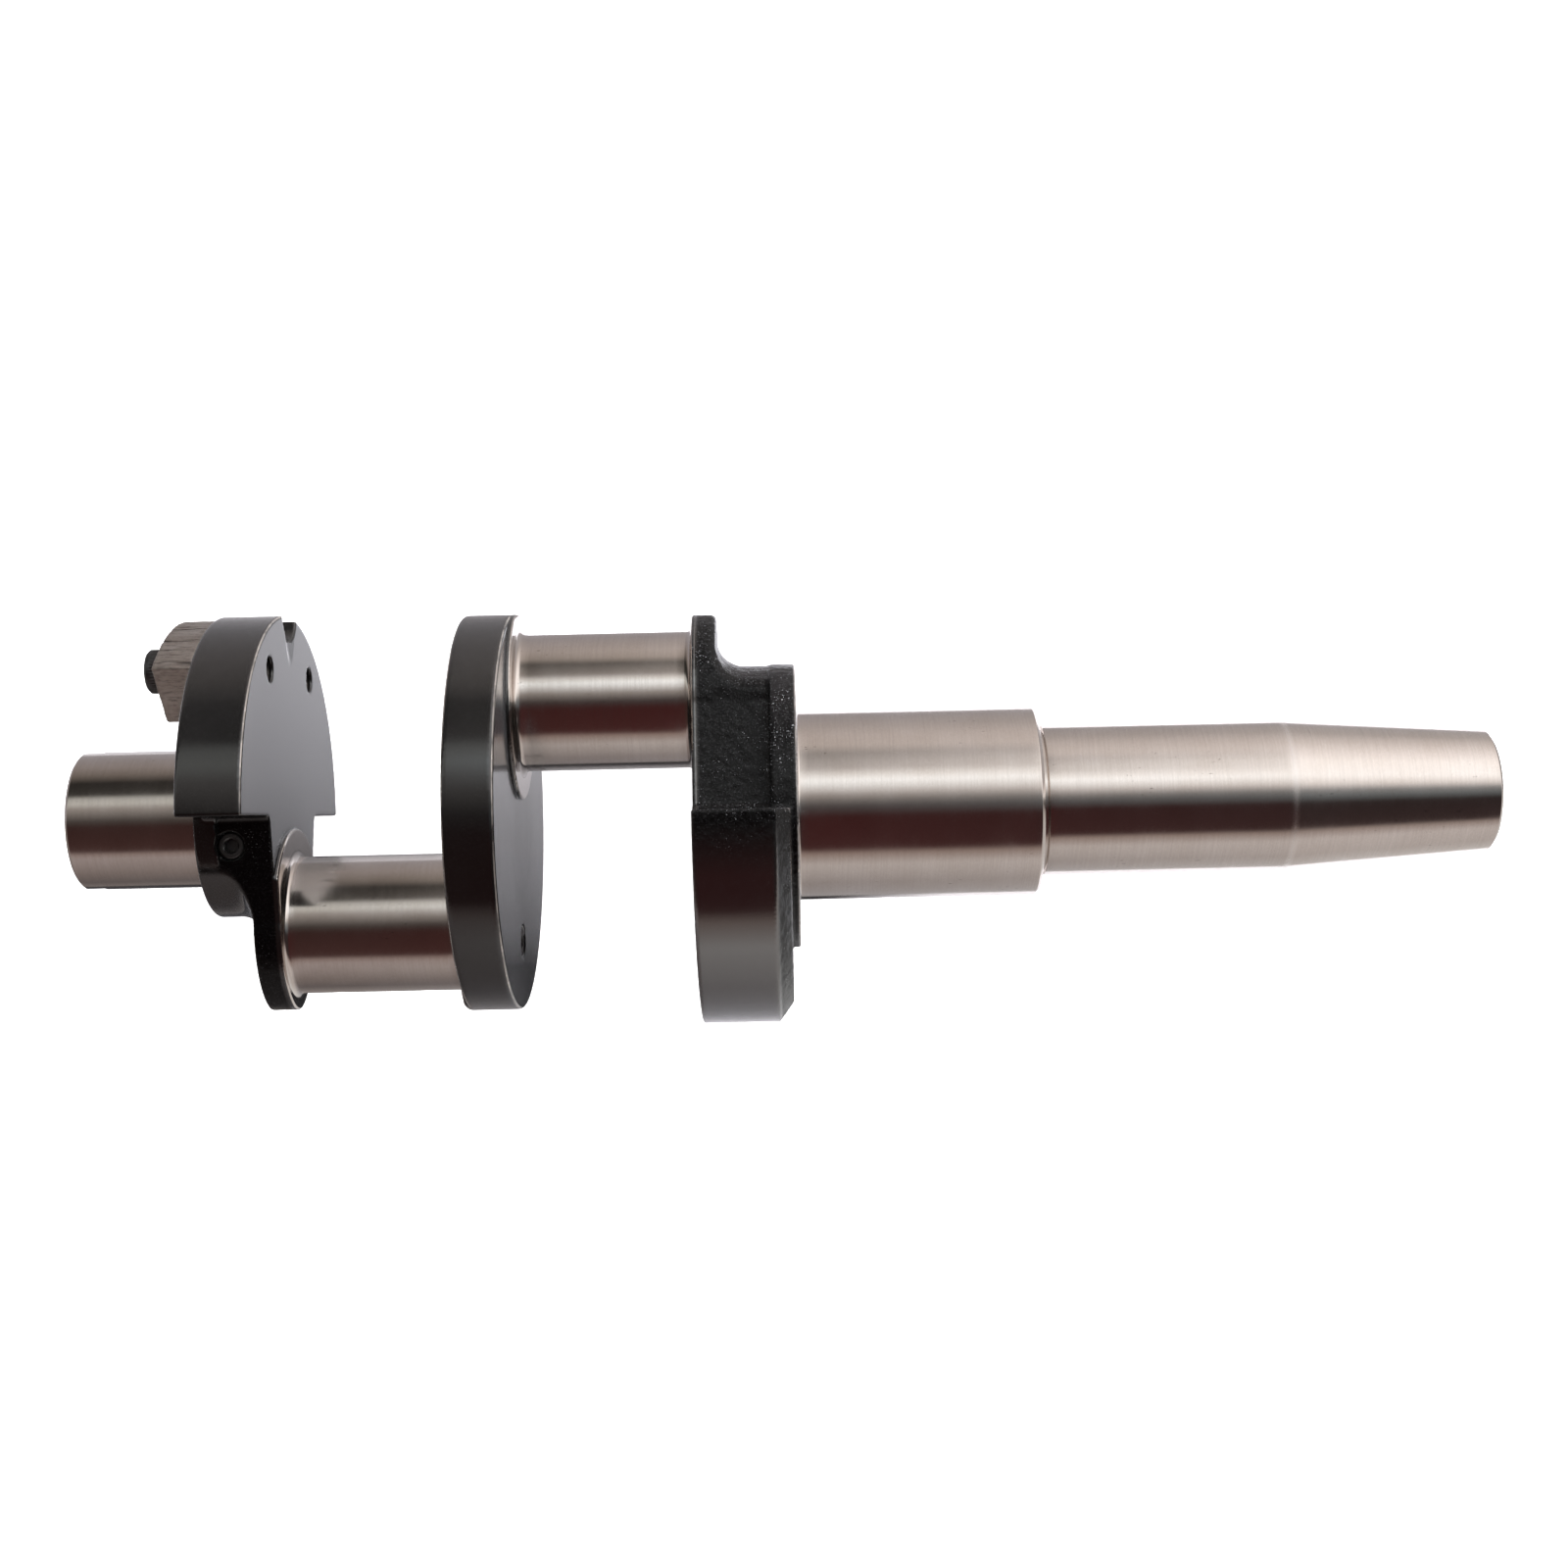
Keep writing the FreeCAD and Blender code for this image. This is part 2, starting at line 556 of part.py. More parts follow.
def make_galleries():
    """Drilled oilways, with seats for the screwed plugs that close them."""
    along_x, along_y, along_z = Vector(1, 0, 0), Vector(0, 1, 0), Vector(0, 0, 1)
    seat = "plug_radius + fit_gap"
    bore(casting, "AxialGallery", "axial_gallery_radius", "x_hub_gallery - x_pump_end",
         ("x_pump_end", "0", "0"), along_x)
    bore(casting, "PumpJournalOilHole", "oil_hole_radius", "pump_journal_radius + pin_fillet",
         ("x_hub - pump_journal_length / 2", "0", "0 - pump_journal_radius - pin_fillet"), along_z)
    bore(casting, "HubGallery", "gallery_radius", "neck_root", ("x_hub_gallery", "0 - hub_plug_offset",
                                                                  "0"), along_z)
    bore(casting, "HubPlugSeat", "hub_plug_radius + fit_gap", "neck_root",
         ("x_hub_gallery", "0 - hub_plug_offset", "hub_plug_level - plug_length"), along_z)
    bore(casting, "PinGallery1", "pin_gallery_radius", "x_disc_right - x_pump_inner",
         ("x_pump_inner", "0 - pin_gallery_offset", "0"), along_x)
    bore(casting, "PinPlugSeat1", seat, "plug_length + plug_sink",
         ("x_disc_right - plug_length - plug_sink", "0 - pin_gallery_offset", "0"), along_x)
    bore(casting, "PinGallery2", "pin_gallery_radius", "x_drive_inner - x_disc_left",
         ("x_disc_left", "pin_gallery_offset", "0"), along_x)
    bore(casting, "PinPlugSeat2", seat, "plug_length + plug_sink",
         ("x_disc_left", "pin_gallery_offset", "0"), along_x)
    bore(casting, "DiscGallery", "gallery_radius", "disc_radius + pin_gallery_offset",
         ("x_disc_middle", "0 - disc_radius", "0"), along_y)
    bore(casting, "RimPlugSeat", seat, "plug_length + plug_sink",
         ("x_disc_middle", "0 - disc_radius", "0"), along_y)
    pump_slant = Vector(value("x_disc_pad_left - pin_length * 0.75 - x_hub - hub_height"),
                        value("0 - crank_throw - pin_radius"), 0)
    bore(casting, "PumpSlantGallery", "gallery_radius", "2 * crank_throw",
         ("x_hub + hub_height", "0", "0"), pump_slant)
    bore(casting, "DriveSlantGallery", "gallery_radius", "4 * crank_throw",
         ("x_main_oil - slant_outset * drive_slant", "0 - main_radius - slant_outset", "0"),
         Vector(value("drive_slant"), 1, 0))
    bore(casting, "PinOilHole1", "oil_hole_radius", "pin_radius",
         ("x_disc_pad_left - pin_length / 4", "0 - crank_throw - pin_radius", "0"), along_y)
    bore(casting, "PinOilHole2", "oil_hole_radius", "pin_radius",
         ("x_disc_pad_right + pin_length / 4", "pin_gallery_offset", "0"), along_y)


def make_casting():
    make_centre_disc()
    make_crankpin("Crankpin1", PIN_1, "x_pump_pad", "x_disc_pad_left")
    make_pump_web()
    make_crankpin("Crankpin2", PIN_2, "x_disc_pad_right", "x_drive_pad")
    make_drive_web()
    make_journals()
    make_end_details()
    make_balance_cuts()
    make_galleries()


make_casting()

# --------------------------------------------------------------------------- counterweight and screws

def make_block():
    """The bolted sector on the outer face of the half disc, spotfaced for its screws."""
    body = new_body("counterweight_block")
    cosine, sine = " * cos(block_half_angle)", " * sin(block_half_angle)"

    def draw_sector(sketch):
        outline(sketch, [
            ("block_outer_radius" + cosine, "0 - block_outer_radius" + sine, "block_outer_radius"),
            ("block_outer_radius" + cosine, "block_outer_radius" + sine),
            ("block_inner_radius" + cosine, "block_inner_radius" + sine, "0 - block_inner_radius"),
            ("block_inner_radius" + cosine, "0 - block_inner_radius" + sine),
        ])

    def draw_holes(radius):
        def draw(sketch):
            for sign in ("", "0 - "):
                circle(sketch, "screw_circle * cos(screw_angle)",
                       sign + "screw_circle * sin(screw_angle)", radius)
        return draw
    pad(body, "Sector", draw_sector, "", "block_thickness")
    pocket(body, "Spotfaces", draw_holes("spotface_radius"), "", "spotface_depth")
    pocket(body, "ScrewHoles", draw_holes("clearance_radius"), "", "block_thickness")
    body.setExpression("Placement.Base.x", bound("x_block"))


def draw_hexagon(across_flats):
    """A hexagon with two corners up, for a socket."""
    def draw(sketch):
        half = across_flats + " / 2"
        corner = across_flats + " / sqrt(3)"
        outline(sketch, [
            ("0", corner), ("0 - " + half, corner + " / 2"), ("0 - " + half, "0 - " + corner + " / 2"),
            ("0", "0 - " + corner), (half, "0 - " + corner + " / 2"), (half, corner + " / 2"),
        ])
    return draw


def make_screw(label, side):
    """Socket head cap screw: its origin is under the head and its thread points to +X."""
    body = new_body(label)
    turn(body, "Revolution", label + "Turned", [
        ("0 - screw_head_height", "0"),
        ("0 - screw_head_height", "screw_head_radius - fit_gap * 10"),
        ("0 - screw_head_height + fit_gap * 10", "screw_head_radius"),
        ("0", "screw_head_radius"),
        ("0", "screw_shank_radius"),
        ("block_thickness - spotface_depth", "screw_shank_radius"),
        ("block_thickness - spotface_depth", "screw_root_radius"),
        ("screw_length", "screw_root_radius"),
        ("screw_length", "0"),
    ])
    pocket(body, label + "Socket", draw_hexagon("screw_socket"), "0 - screw_head_height",
           "screw_socket_depth")
    body.setExpression("Placement.Base.x", bound("x_block + spotface_depth"))
    body.setExpression("Placement.Base.y", bound("screw_circle * cos(screw_angle)"))
    body.setExpression("Placement.Base.z", bound(side + "screw_circle * sin(screw_angle)"))


def make_plug(label, radius, base, facing):
    """Headless plug with a hexagon socket: its outer face is at base and looks along facing."""
    body = new_body(label)
    pad(body, label + "Round", draw_disc(radius), "", "plug_length")
    pocket(body, label + "Socket", draw_hexagon("plug_socket"), "", "plug_socket_depth")
    body.Placement = FreeCAD.Placement(Vector(0, 0, 0), FreeCAD.Rotation(Vector(-1, 0, 0), facing))
    for letter, formula in zip("xyz", base):
        body.setExpression("Placement.Base." + letter, bound(formula))


make_block()
make_screw("counterweight_screw_near", "")
make_screw("counterweight_screw_far", "0 - ")
make_plug("hub_gallery_plug", "hub_plug_radius",
          ("x_hub_gallery", "0 - hub_plug_offset", "hub_plug_level"), Vector(0, 0, 1))
make_plug("pin_1_gallery_plug", "plug_radius",
          ("x_disc_right - plug_sink", "0 - pin_gallery_offset", "0"), Vector(1, 0, 0))
make_plug("pin_2_gallery_plug", "plug_radius",
          ("x_disc_left + plug_sink", "pin_gallery_offset", "0"), Vector(-1, 0, 0))
make_plug("disc_rim_plug", "plug_radius",
          ("x_disc_middle", "0 - disc_radius + plug_sink", "0"), Vector(0, -1, 0))

# --------------------------------------------------------------------------------------------- export

doc.recompute()
for item in doc.Objects:
    if "Invalid" in item.State or "Error" in item.State:
        raise RuntimeError("%s did not compute: %s" % (item.Label, item.State))
bodies = [item for item in doc.Objects if item.isDerivedFrom("PartDesign::Body")]
for body in bodies:
    if body.Shape.isNull() or not body.Shape.isValid() or len(body.Shape.Solids) != 1:
        raise RuntimeError("%s has no valid single solid" % body.Label)
os.makedirs("parts", exist_ok=True)
for body in bodies:
    body.Shape.exportStep("parts/%s.step" % body.Label)
    box = body.Shape.BoundBox
    print("%-26s %10.1f mm3  x %.1f..%.1f  y %.1f..%.1f  z %.1f..%.1f" % (
        body.Label, body.Shape.Volume, box.XMin, box.XMax, box.YMin, box.YMax, box.ZMin, box.ZMax))
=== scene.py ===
import json
import math

import bpy
import numpy as np
from mathutils import Matrix, Vector, noise


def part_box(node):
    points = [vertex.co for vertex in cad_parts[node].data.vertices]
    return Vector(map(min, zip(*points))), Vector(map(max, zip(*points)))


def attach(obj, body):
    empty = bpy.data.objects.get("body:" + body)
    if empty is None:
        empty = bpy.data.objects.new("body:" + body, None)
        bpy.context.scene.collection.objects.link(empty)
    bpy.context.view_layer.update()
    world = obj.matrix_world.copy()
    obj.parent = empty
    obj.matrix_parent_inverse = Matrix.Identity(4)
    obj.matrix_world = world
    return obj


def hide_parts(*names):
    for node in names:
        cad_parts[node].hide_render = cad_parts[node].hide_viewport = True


# The looks of the compressor crankshaft. The casting is rebuilt as its webs, crankpins and shafts, each
# with its own finish, and stands for the one CAD casting. Lengths here are in millimetres, in the row's
# frame: X along the crank axis to the drive end, +Y to crankpin 2, Z up.

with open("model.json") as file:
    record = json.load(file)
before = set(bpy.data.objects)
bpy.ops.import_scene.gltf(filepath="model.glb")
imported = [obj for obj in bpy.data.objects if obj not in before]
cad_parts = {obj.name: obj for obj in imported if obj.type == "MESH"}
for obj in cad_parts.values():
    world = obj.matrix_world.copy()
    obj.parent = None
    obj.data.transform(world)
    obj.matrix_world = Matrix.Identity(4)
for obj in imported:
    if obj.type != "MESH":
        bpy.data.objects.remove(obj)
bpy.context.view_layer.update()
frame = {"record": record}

# ------------- sizes

MM = 0.001
WEB_STEP = 0.45
BLOCK_STEP = 0.3
DRIVE_STEP = 1.1 * WEB_STEP      # keeps the largest web under the limit on triangles
SHARP_ANGLE = math.radians(32)
mounts = {mount["name"]: mount for mount in frame["record"]["mounts"]}


def box(node):
    """Lowest and highest corner of a CAD node, in millimetres."""
    low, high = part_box(node)
    return [v / MM for v in low], [v / MM for v in high]


def mount_x(name):
    return mounts[name]["pos_m"][0] / MM


def mount_radius(name):
    return mounts[name]["dims"]["r_mm"]


def mount_length(name):
    return mounts[name]["dims"]["length_mm"]


casting_low, casting_high = box("crank_casting")
block_low, block_high = box("counterweight_block")
screw_low, screw_high = box("counterweight_screw_near")
hub_plug_low, hub_plug_high = box("hub_gallery_plug")
pin_plug_low, pin_plug_high = box("pin_1_gallery_plug")

FILLET = 1.5             # root fillet of crankpins and journals
PAD_HEIGHT = 0.95        # thrust pads stand this proud of the webs
PAD_RADIUS = 22.6
HUB_HEIGHT = 2.8         # the pump-end hub stands this proud of the half disc
HUB_DEPTH = 5.2          # and reaches this far into the web
PUMP_PLATE = 5.5         # thickness of the boss behind crankpin 1
DRIVE_PLATE = 4.8        # thickness of the boss behind crankpin 2
COLLAR_HEIGHT = 1.7      # the thrust collar stands this proud of the drive-end web

THROW = mounts["crankpin_2"]["pos_m"][1] / MM
PIN_RADIUS = mount_radius("crankpin_1")
PIN_HALF = mount_length("crankpin_1") / 2 + FILLET

X_PUMP_END = casting_low[0]
X_PUMP_PAD = mount_x("crankpin_1") - PIN_HALF
X_PUMP_INNER = X_PUMP_PAD - PAD_HEIGHT
X_PUMP_FACE = block_high[0]
X_HUB = X_PUMP_FACE - HUB_HEIGHT
X_PUMP_PLATE = X_PUMP_INNER - PUMP_PLATE
X_DISC_PAD_LEFT = mount_x("crankpin_1") + PIN_HALF
X_DISC_LEFT = X_DISC_PAD_LEFT + PAD_HEIGHT
X_DISC_PAD_RIGHT = mount_x("crankpin_2") - PIN_HALF
X_DISC_RIGHT = X_DISC_PAD_RIGHT - PAD_HEIGHT
X_DRIVE_PAD = mount_x("crankpin_2") + PIN_HALF
X_DRIVE_INNER = X_DRIVE_PAD + PAD_HEIGHT
X_DRIVE_PLATE = X_DRIVE_INNER + DRIVE_PLATE
X_THRUST = mount_x("thrust_face")
X_DRIVE_FACE = X_THRUST - COLLAR_HEIGHT
X_MAIN_END = 2 * mount_x("drive_main_journal") - X_THRUST
X_TAPER = 2 * mount_x("drive_taper") - casting_high[0]
X_END = casting_high[0]

PUMP_JOURNAL_RADIUS = mount_radius("pump_main_journal")
PUMP_BORE_RADIUS = mount_radius("pump_shaft_bore")
PUMP_BORE_DEPTH = mount_length("pump_shaft_bore")
MAIN_RADIUS = mount_radius("drive_main_journal")
SEAL_RADIUS = mount_radius("seal_journal")
TAPER_RADIUS = 14.45
HALF_DISC_RADIUS, HALF_DISC_LEDGE = 47.1, 0.2
HUB_RADIUS, DRIVE_HUB_RADIUS = 23.2, 33.0
DISC_RADIUS = 46.15
COUNTERWEIGHT_RADIUS, COUNTERWEIGHT_LEDGE = casting_high[2], 0.5
COLLAR_RADIUS, COLLAR_WIDTH = 33.2, 6.0
NECK_ROOT, DRIVE_NECK_ROOT, NECK_START = 22.4, 21.2, 2.0
NECK_TIP, NECK_TIP_OFFSET = 17.4, 24.0
BOSS_SIDE_RADIUS, BOSS_TIP_RADIUS = 22.7, 11.9
BOSS_TIP_HALF, BOSS_TIP_OFFSET = 5.4, 44.0
WEB_FILLET = 6.5
BEVEL, BEVEL_WIDTH = 4.6, 3.4
NOTCH_RADIUS, NOTCH_CENTRE = 6.8, 48.1
SCALLOP_RADIUS, SCALLOP_TIP = 10.0, 35.2
SCALLOP_ANGLE, SCALLOP_EASE = math.radians(8), 0.12

# Radii of the webs' rounded edges and of the corners between their parts
PAD_EDGE, PAD_ROOT = 0.2, 0.3
PIN_SIDE_EDGE = 0.5      # both end webs, on the side of their crankpins
PUMP_EDGE = 0.9          # hub and half disc, on the pump's side
PUMP_NECK_EDGE, PUMP_ROOT = 0.6, 1.6
LEDGE_EDGE, DRIVE_LEDGE_EDGE = 0.5, 0.7
NOTCH_EDGE, SCALLOP_EDGE, SEAT_EDGE = 0.35, 0.15, 0.35
DISC_EDGE = 0.8
DRIVE_EDGE, DRIVE_NECK_EDGE, DRIVE_ROOT = 0.4, 1.5, 1.8
COLLAR_EDGE, COLLAR_ROOT = 0.5, 0.7
BEVEL_EDGE = 0.15

BLOCK_HALF_ANGLE = math.radians(44.5)
BLOCK_EDGE, BLOCK_END_EDGE, BLOCK_SEAT_EDGE = 0.6, 0.5, 0.3
FURROW_DEPTH = 0.22

# Holes, plugs and screws
SCREW_Y = (screw_low[1] + screw_high[1]) / 2
SCREW_Z = (screw_low[2] + screw_high[2]) / 2
SCREW_RADIUS = 3.0
HEAD_RADIUS, HEAD_HEIGHT, HEAD_CHAMFER = 5.0, 6.0, 0.65
HEAD_SOCKET, HEAD_SOCKET_DEPTH = 5.0, 3.0
KNURLS, KNURL_DEPTH = 48, 0.16
HEAD_SEAT_RADIUS, HEAD_SEAT_DEPTH = 5.4, 1.85
SCREW_HOLE_RADIUS = 3.3
TAPPED_RADIUS, TAPPED_MOUTH, TAPPED_PITCH = 3.0, 0.2, 1.0
PLUG_RADIUS, PLUG_LENGTH, PLUG_SINK = 3.75, 6.0, 0.3
PLUG_SEAT_DEPTH = PLUG_LENGTH + PLUG_SINK
HUB_SEAT_RADIUS = PLUG_RADIUS - 0.6
PLUG_SOCKET, PLUG_SOCKET_DEPTH = 3.0, 2.6
PIN_PLUG_OFFSET = -(pin_plug_low[1] + pin_plug_high[1]) / 2
OIL_HOLE_RADIUS = 2.0

# ------------- solids as distance functions


def join(a, b, radius):
    """Distance to two solids together, with a concave fillet where they meet."""
    u = np.maximum(radius - a, 0)
    v = np.maximum(radius - b, 0)
    return np.maximum(radius, np.minimum(a, b)) - np.hypot(u, v)


def common(a, b, radius):
    """Distance to what two solids share, with a rounded edge."""
    return -join(-a, -b, radius)


def surface_net(field, corner, step):
    """Vertices and quads of the surface where a sampled distance is zero."""
    inside = field < 0
    cells = np.array(field.shape) - 1
    offsets = [(i, j, k) for i in (0, 1) for j in (0, 1) for k in (0, 1)]

    def corner_of(array, offset):
        i, j, k = offset
        return array[i:i + cells[0], j:j + cells[1], k:k + cells[2]]

    count = sum(corner_of(inside, offset).astype(np.int8) for offset in offsets)
    active = (count > 0) & (count < 8)
    number = np.full(active.shape, -1, np.int64)
    number[active] = np.arange(active.sum())
    at = np.argwhere(active)
    total = np.zeros((len(at), 3))
    hits = np.zeros(len(at))
    for first in offsets:
        for axis in range(3):
            if first[axis]:
                continue
            second = tuple(1 if i == axis else first[i] for i in range(3))
            a = corner_of(field, first)[active].astype(float)
            b = corner_of(field, second)[active].astype(float)
            crossed = (a < 0) != (b < 0)
            share = a[crossed] / (a[crossed] - b[crossed])
            point = np.tile(np.array(first, float), (crossed.sum(), 1))
            point[:, axis] += share
            total[crossed] += point
            hits[crossed] += 1
    points = corner + step * (at + total / hits[:, None])
    quads = []
    for axis in range(3):
        one, two = (axis + 1) % 3, (axis + 2) % 3
        ahead = np.take(inside, range(1, inside.shape[axis]), axis)
        here = np.take(inside, range(inside.shape[axis] - 1), axis)
        for leaving in (True, False):
            edges = np.argwhere((here & ~ahead) if leaving else (~here & ahead))
            edges = edges[(edges[:, one] > 0) & (edges[:, two] > 0)]
            edges = edges[(edges[:, one] < cells[one]) & (edges[:, two] < cells[two])]
            ring = []
            for back_one, back_two in ((1, 1), (0, 1), (0, 0), (1, 0)):
                cell = edges.copy()
                cell[:, one] -= back_one
                cell[:, two] -= back_two
                ring.append(number[tuple(cell.T)])
            quads.append(np.stack(ring if leaving else ring[::-1], 1))
    return points, np.concatenate(quads)


def settle(points, solid, step):
    """Move each point along the solid's slope until it lies on the surface."""
    reach = 0.02
    for _ in range(4):
        here = solid(*points.T)
        slope = [(solid(*(points + reach * axis).T) - here) / reach for axis in np.eye(3)]
        slope = np.stack(slope, 1)
        size = np.maximum((slope ** 2).sum(1), 0.3)
        move = slope * (here / size)[:, None]
        points = points - np.clip(move, -step / 2, step / 2)
    return points


def new_object(name, points, faces, material):
    """A smooth-shaded object from points in millimetres."""
    mesh = bpy.data.meshes.new(name)
    mesh.from_pydata([tuple(p) for p in np.asarray(points) * MM], [], [tuple(f) for f in faces])
    mesh.validate()
    mesh.polygons.foreach_set("use_smooth", [True] * len(mesh.polygons))
    thing = bpy.data.objects.new(name, mesh)
    bpy.context.scene.collection.objects.link(thing)
    mesh.materials.append(material)
    return thing


def aim(thing, base, direction):
    """Turn a piece made along +X to run along direction, and move its start to base."""
    turn = Vector((1, 0, 0)).rotation_difference(Vector(direction).normalized()).to_matrix().to_4x4()
    thing.data.transform(Matrix.Translation(Vector(base) * MM) @ turn)


def solid_object(name, solid, low, high, step, material):
    """Mesh a distance function inside a box."""
    low = np.array(low, float) - 1.5 * step
    counts = np.ceil((np.array(high) - low) / step).astype(int) + 3
    x, y, z = (low[i] + step * np.arange(counts[i]) for i in range(3))
    field = solid(x[:, None, None], y[None, :, None], z[None, None, :])
    field = np.broadcast_to(field, tuple(counts)).astype(np.float32)
    points, quads = surface_net(field, low, step)
    return new_object(name, settle(points, solid, step), quads, material)


def vertex_array(thing, what="co"):
    data = thing.data.vertices if what == "co" else thing.data.vertex_normals
    flat = np.zeros(len(thing.data.vertices) * 3, np.float32)
    data.foreach_get("co" if what == "co" else "vector", flat)
    return flat.reshape(-1, 3)


def paint(thing, name, values):
    """Store one number per vertex for the material to read."""
    layer = thing.data.attributes.new(name, "FLOAT", "POINT")
    layer.data.foreach_set("value", np.asarray(values, np.float32))


def press_in(thing, depths):
    """Push each vertex in along its normal by its own depth in millimetres."""
    moved = vertex_array(thing) - vertex_array(thing, "normal") * (depths * MM)[:, None]
    thing.data.vertices.foreach_set("co", moved.astype(np.float32).ravel())
    thing.data.update()


def roughen(thing, amount, wave, depth):
    """Pit a surface with fractal noise; amount is the share at each vertex."""
    lumps = [noise.fractal(Vector(p) / (wave * MM), 0.8, 2.1, 3) for p in vertex_array(thing)]
    press_in(thing, np.clip(0.9 - np.array(lumps), 0.0, 2.0) * amount * depth)


# ------------- turned pieces


def rounded(points, pieces=8):
    """A polyline whose corners that have a third number are rounded to that radius."""
    made = []
    for i, point in enumerate(points):
        here = np.array(point[:2], float)
        if len(point) < 3:
            made.append(here)
            continue
        back = np.array(points[i - 1][:2], float) - here
        on = np.array(points[i + 1][:2], float) - here
        back /= np.linalg.norm(back)
        on /= np.linalg.norm(on)
        half = math.acos(float(np.clip(back @ on, -1, 1))) / 2
        centre = here + (back + on) / np.linalg.norm(back + on) * point[2] / math.sin(half)
        start = here + back * point[2] / math.tan(half) - centre
        end = here + on * point[2] / math.tan(half) - centre
        turn = math.atan2(start[0] * end[1] - start[1] * end[0], start @ end)
        for k in range(pieces + 1):
            c, s = math.cos(turn * k / pieces), math.sin(turn * k / pieces)
            made.append(centre + np.array([start[0] * c - start[1] * s, start[0] * s + start[1] * c]))
    return made


def lathe(name, profile, material, axis_y=0.0, steps=192, longest=2.0):
    """Turn a profile of (x, radius) points about an axis along X at y = axis_y."""
    fine = [profile[0]]
    for a, b in zip(profile, profile[1:]):
        pieces = max(1, math.ceil(math.dist(a, b) / longest))
        fine += [tuple(a[i] + (b[i] - a[i]) * k / pieces for i in (0, 1)) for k in range(1, pieces + 1)]
    points, rings = [], []
    for x, radius in fine:
        if radius < 1e-6:
            rings.append([len(points)])
            points.append((x, axis_y, 0.0))
            continue
        rings.append(list(range(len(points), len(points) + steps)))
        for k in range(steps):
            angle = 2 * math.pi * k / steps
            points.append((x, axis_y + radius * math.sin(angle), radius * math.cos(angle)))
    faces = []
    for a, b in zip(rings, rings[1:]):
        for k in range(steps):
            after = (k + 1) % steps
            if len(a) == 1:
                faces.append((a[0], b[k], b[after]))
            elif len(b) == 1:
                faces.append((a[k], b[0], a[after]))
            else:
                faces.append((a[k], b[k], b[after], a[after]))
    thing = new_object(name, points, faces, material)
    thing.data.set_sharp_from_angle(angle=SHARP_ANGLE)
    return thing


def turned_cutter(base, direction, profile, steps=48):
    """A throwaway solid turned about a line from base along direction; profile is (distance, radius)."""
    thing = lathe("Cutter", profile, bpy.data.materials[0], steps=steps, longest=1000)
    aim(thing, base, direction)
    return thing


def drilled(base, direction, radius, depth, mouth=0.0):
    """A cutter for a hole that enters at base, with a chamfered mouth and a drill's pointed end."""
    before, tip = 2.0, radius * 0.6
    profile = [(-before, 0), (-before, radius + mouth)]
    if mouth:
        profile += [(0.0, radius + mouth), (mouth, radius)]
    profile += [(depth, radius), (depth + tip, 0)]
    return turned_cutter(base, direction, profile)


def cut(thing, *cutters):
    """Subtract solids from a piece, and throw them away."""
    for cutter in cutters:
        change = thing.modifiers.new("Cut", "BOOLEAN")
        change.operation = "DIFFERENCE"
        change.solver = "EXACT"
        change.object = cutter
    graph = bpy.context.evaluated_depsgraph_get()
    made = bpy.data.meshes.new_from_object(thing.evaluated_get(graph))
    thing.modifiers.clear()
    thing.data = made
    made.polygons.foreach_set("use_smooth", [True] * len(made.polygons))
    made.set_sharp_from_angle(angle=SHARP_ANGLE)
    for cutter in cutters:
        bpy.data.objects.remove(cutter)


def prism(outline, base, direction, depth):
    """A throwaway solid: a convex outline of (across, up) points pushed from base along direction."""
    count = len(outline)
    points = [(d, a, b) for d in (0.0, depth) for a, b in outline]
    faces = [tuple(range(count))[::-1], tuple(range(count, 2 * count))]
    faces += [(k, (k + 1) % count, count + (k + 1) % count, count + k) for k in range(count)]
    thing = new_object("Cutter", points, faces, bpy.data.materials[0])
    aim(thing, base, direction)
    return thing


def cut_socket(thing, face, inward, across_flats, depth, mouth):
    """A hexagon socket with a turned mouth, in the end face of a screw or plug."""
    corner = across_flats / math.sqrt(3)
    hexagon = [(corner * math.cos(math.pi * k / 3), corner * math.sin(math.pi * k / 3)) for k in range(6)]
    outside = [f - i for f, i in zip(face, inward)]
    cut(thing, prism(hexagon, outside, inward, depth + 1), turned_cutter(face, inward, mouth))


def inner_thread(name, base, direction, length, radius, pitch, material):
    """The thread in a tapped hole, as a helical sleeve against the hole's wall."""
    steps = 36
    depth = 0.54 * pitch
    back = -0.09
    shape = [(0.0, 0.0), (0.4, depth), (0.55, depth), (0.95, 0.0), (0.95, back), (0.0, back)]
    turns = int(length / pitch)
    columns = turns * steps + 1
    points = []
    for k in range(columns):
        angle = 2 * math.pi * k / steps
        ease = min(1.0, k / steps, (columns - 1 - k) / steps)
        for along, inward in shape:
            r = radius - (inward * ease if inward > 0 else inward)
            points.append(((k / steps + along) * pitch, r * math.sin(angle), r * math.cos(angle)))
    size = len(shape)
    faces = [tuple(range(size)), tuple(range((columns - 1) * size, columns * size))[::-1]]
    for k in range(columns - 1):
        for i in range(size):
            a, b = k * size + i, k * size + (i + 1) % size
            faces.append((a, a + size, b + size, b))
    thing = new_object(name, points, faces, material)
    aim(thing, base, direction)
    thing.data.set_sharp_from_angle(angle=SHARP_ANGLE)
    return thing


# ------------- materials


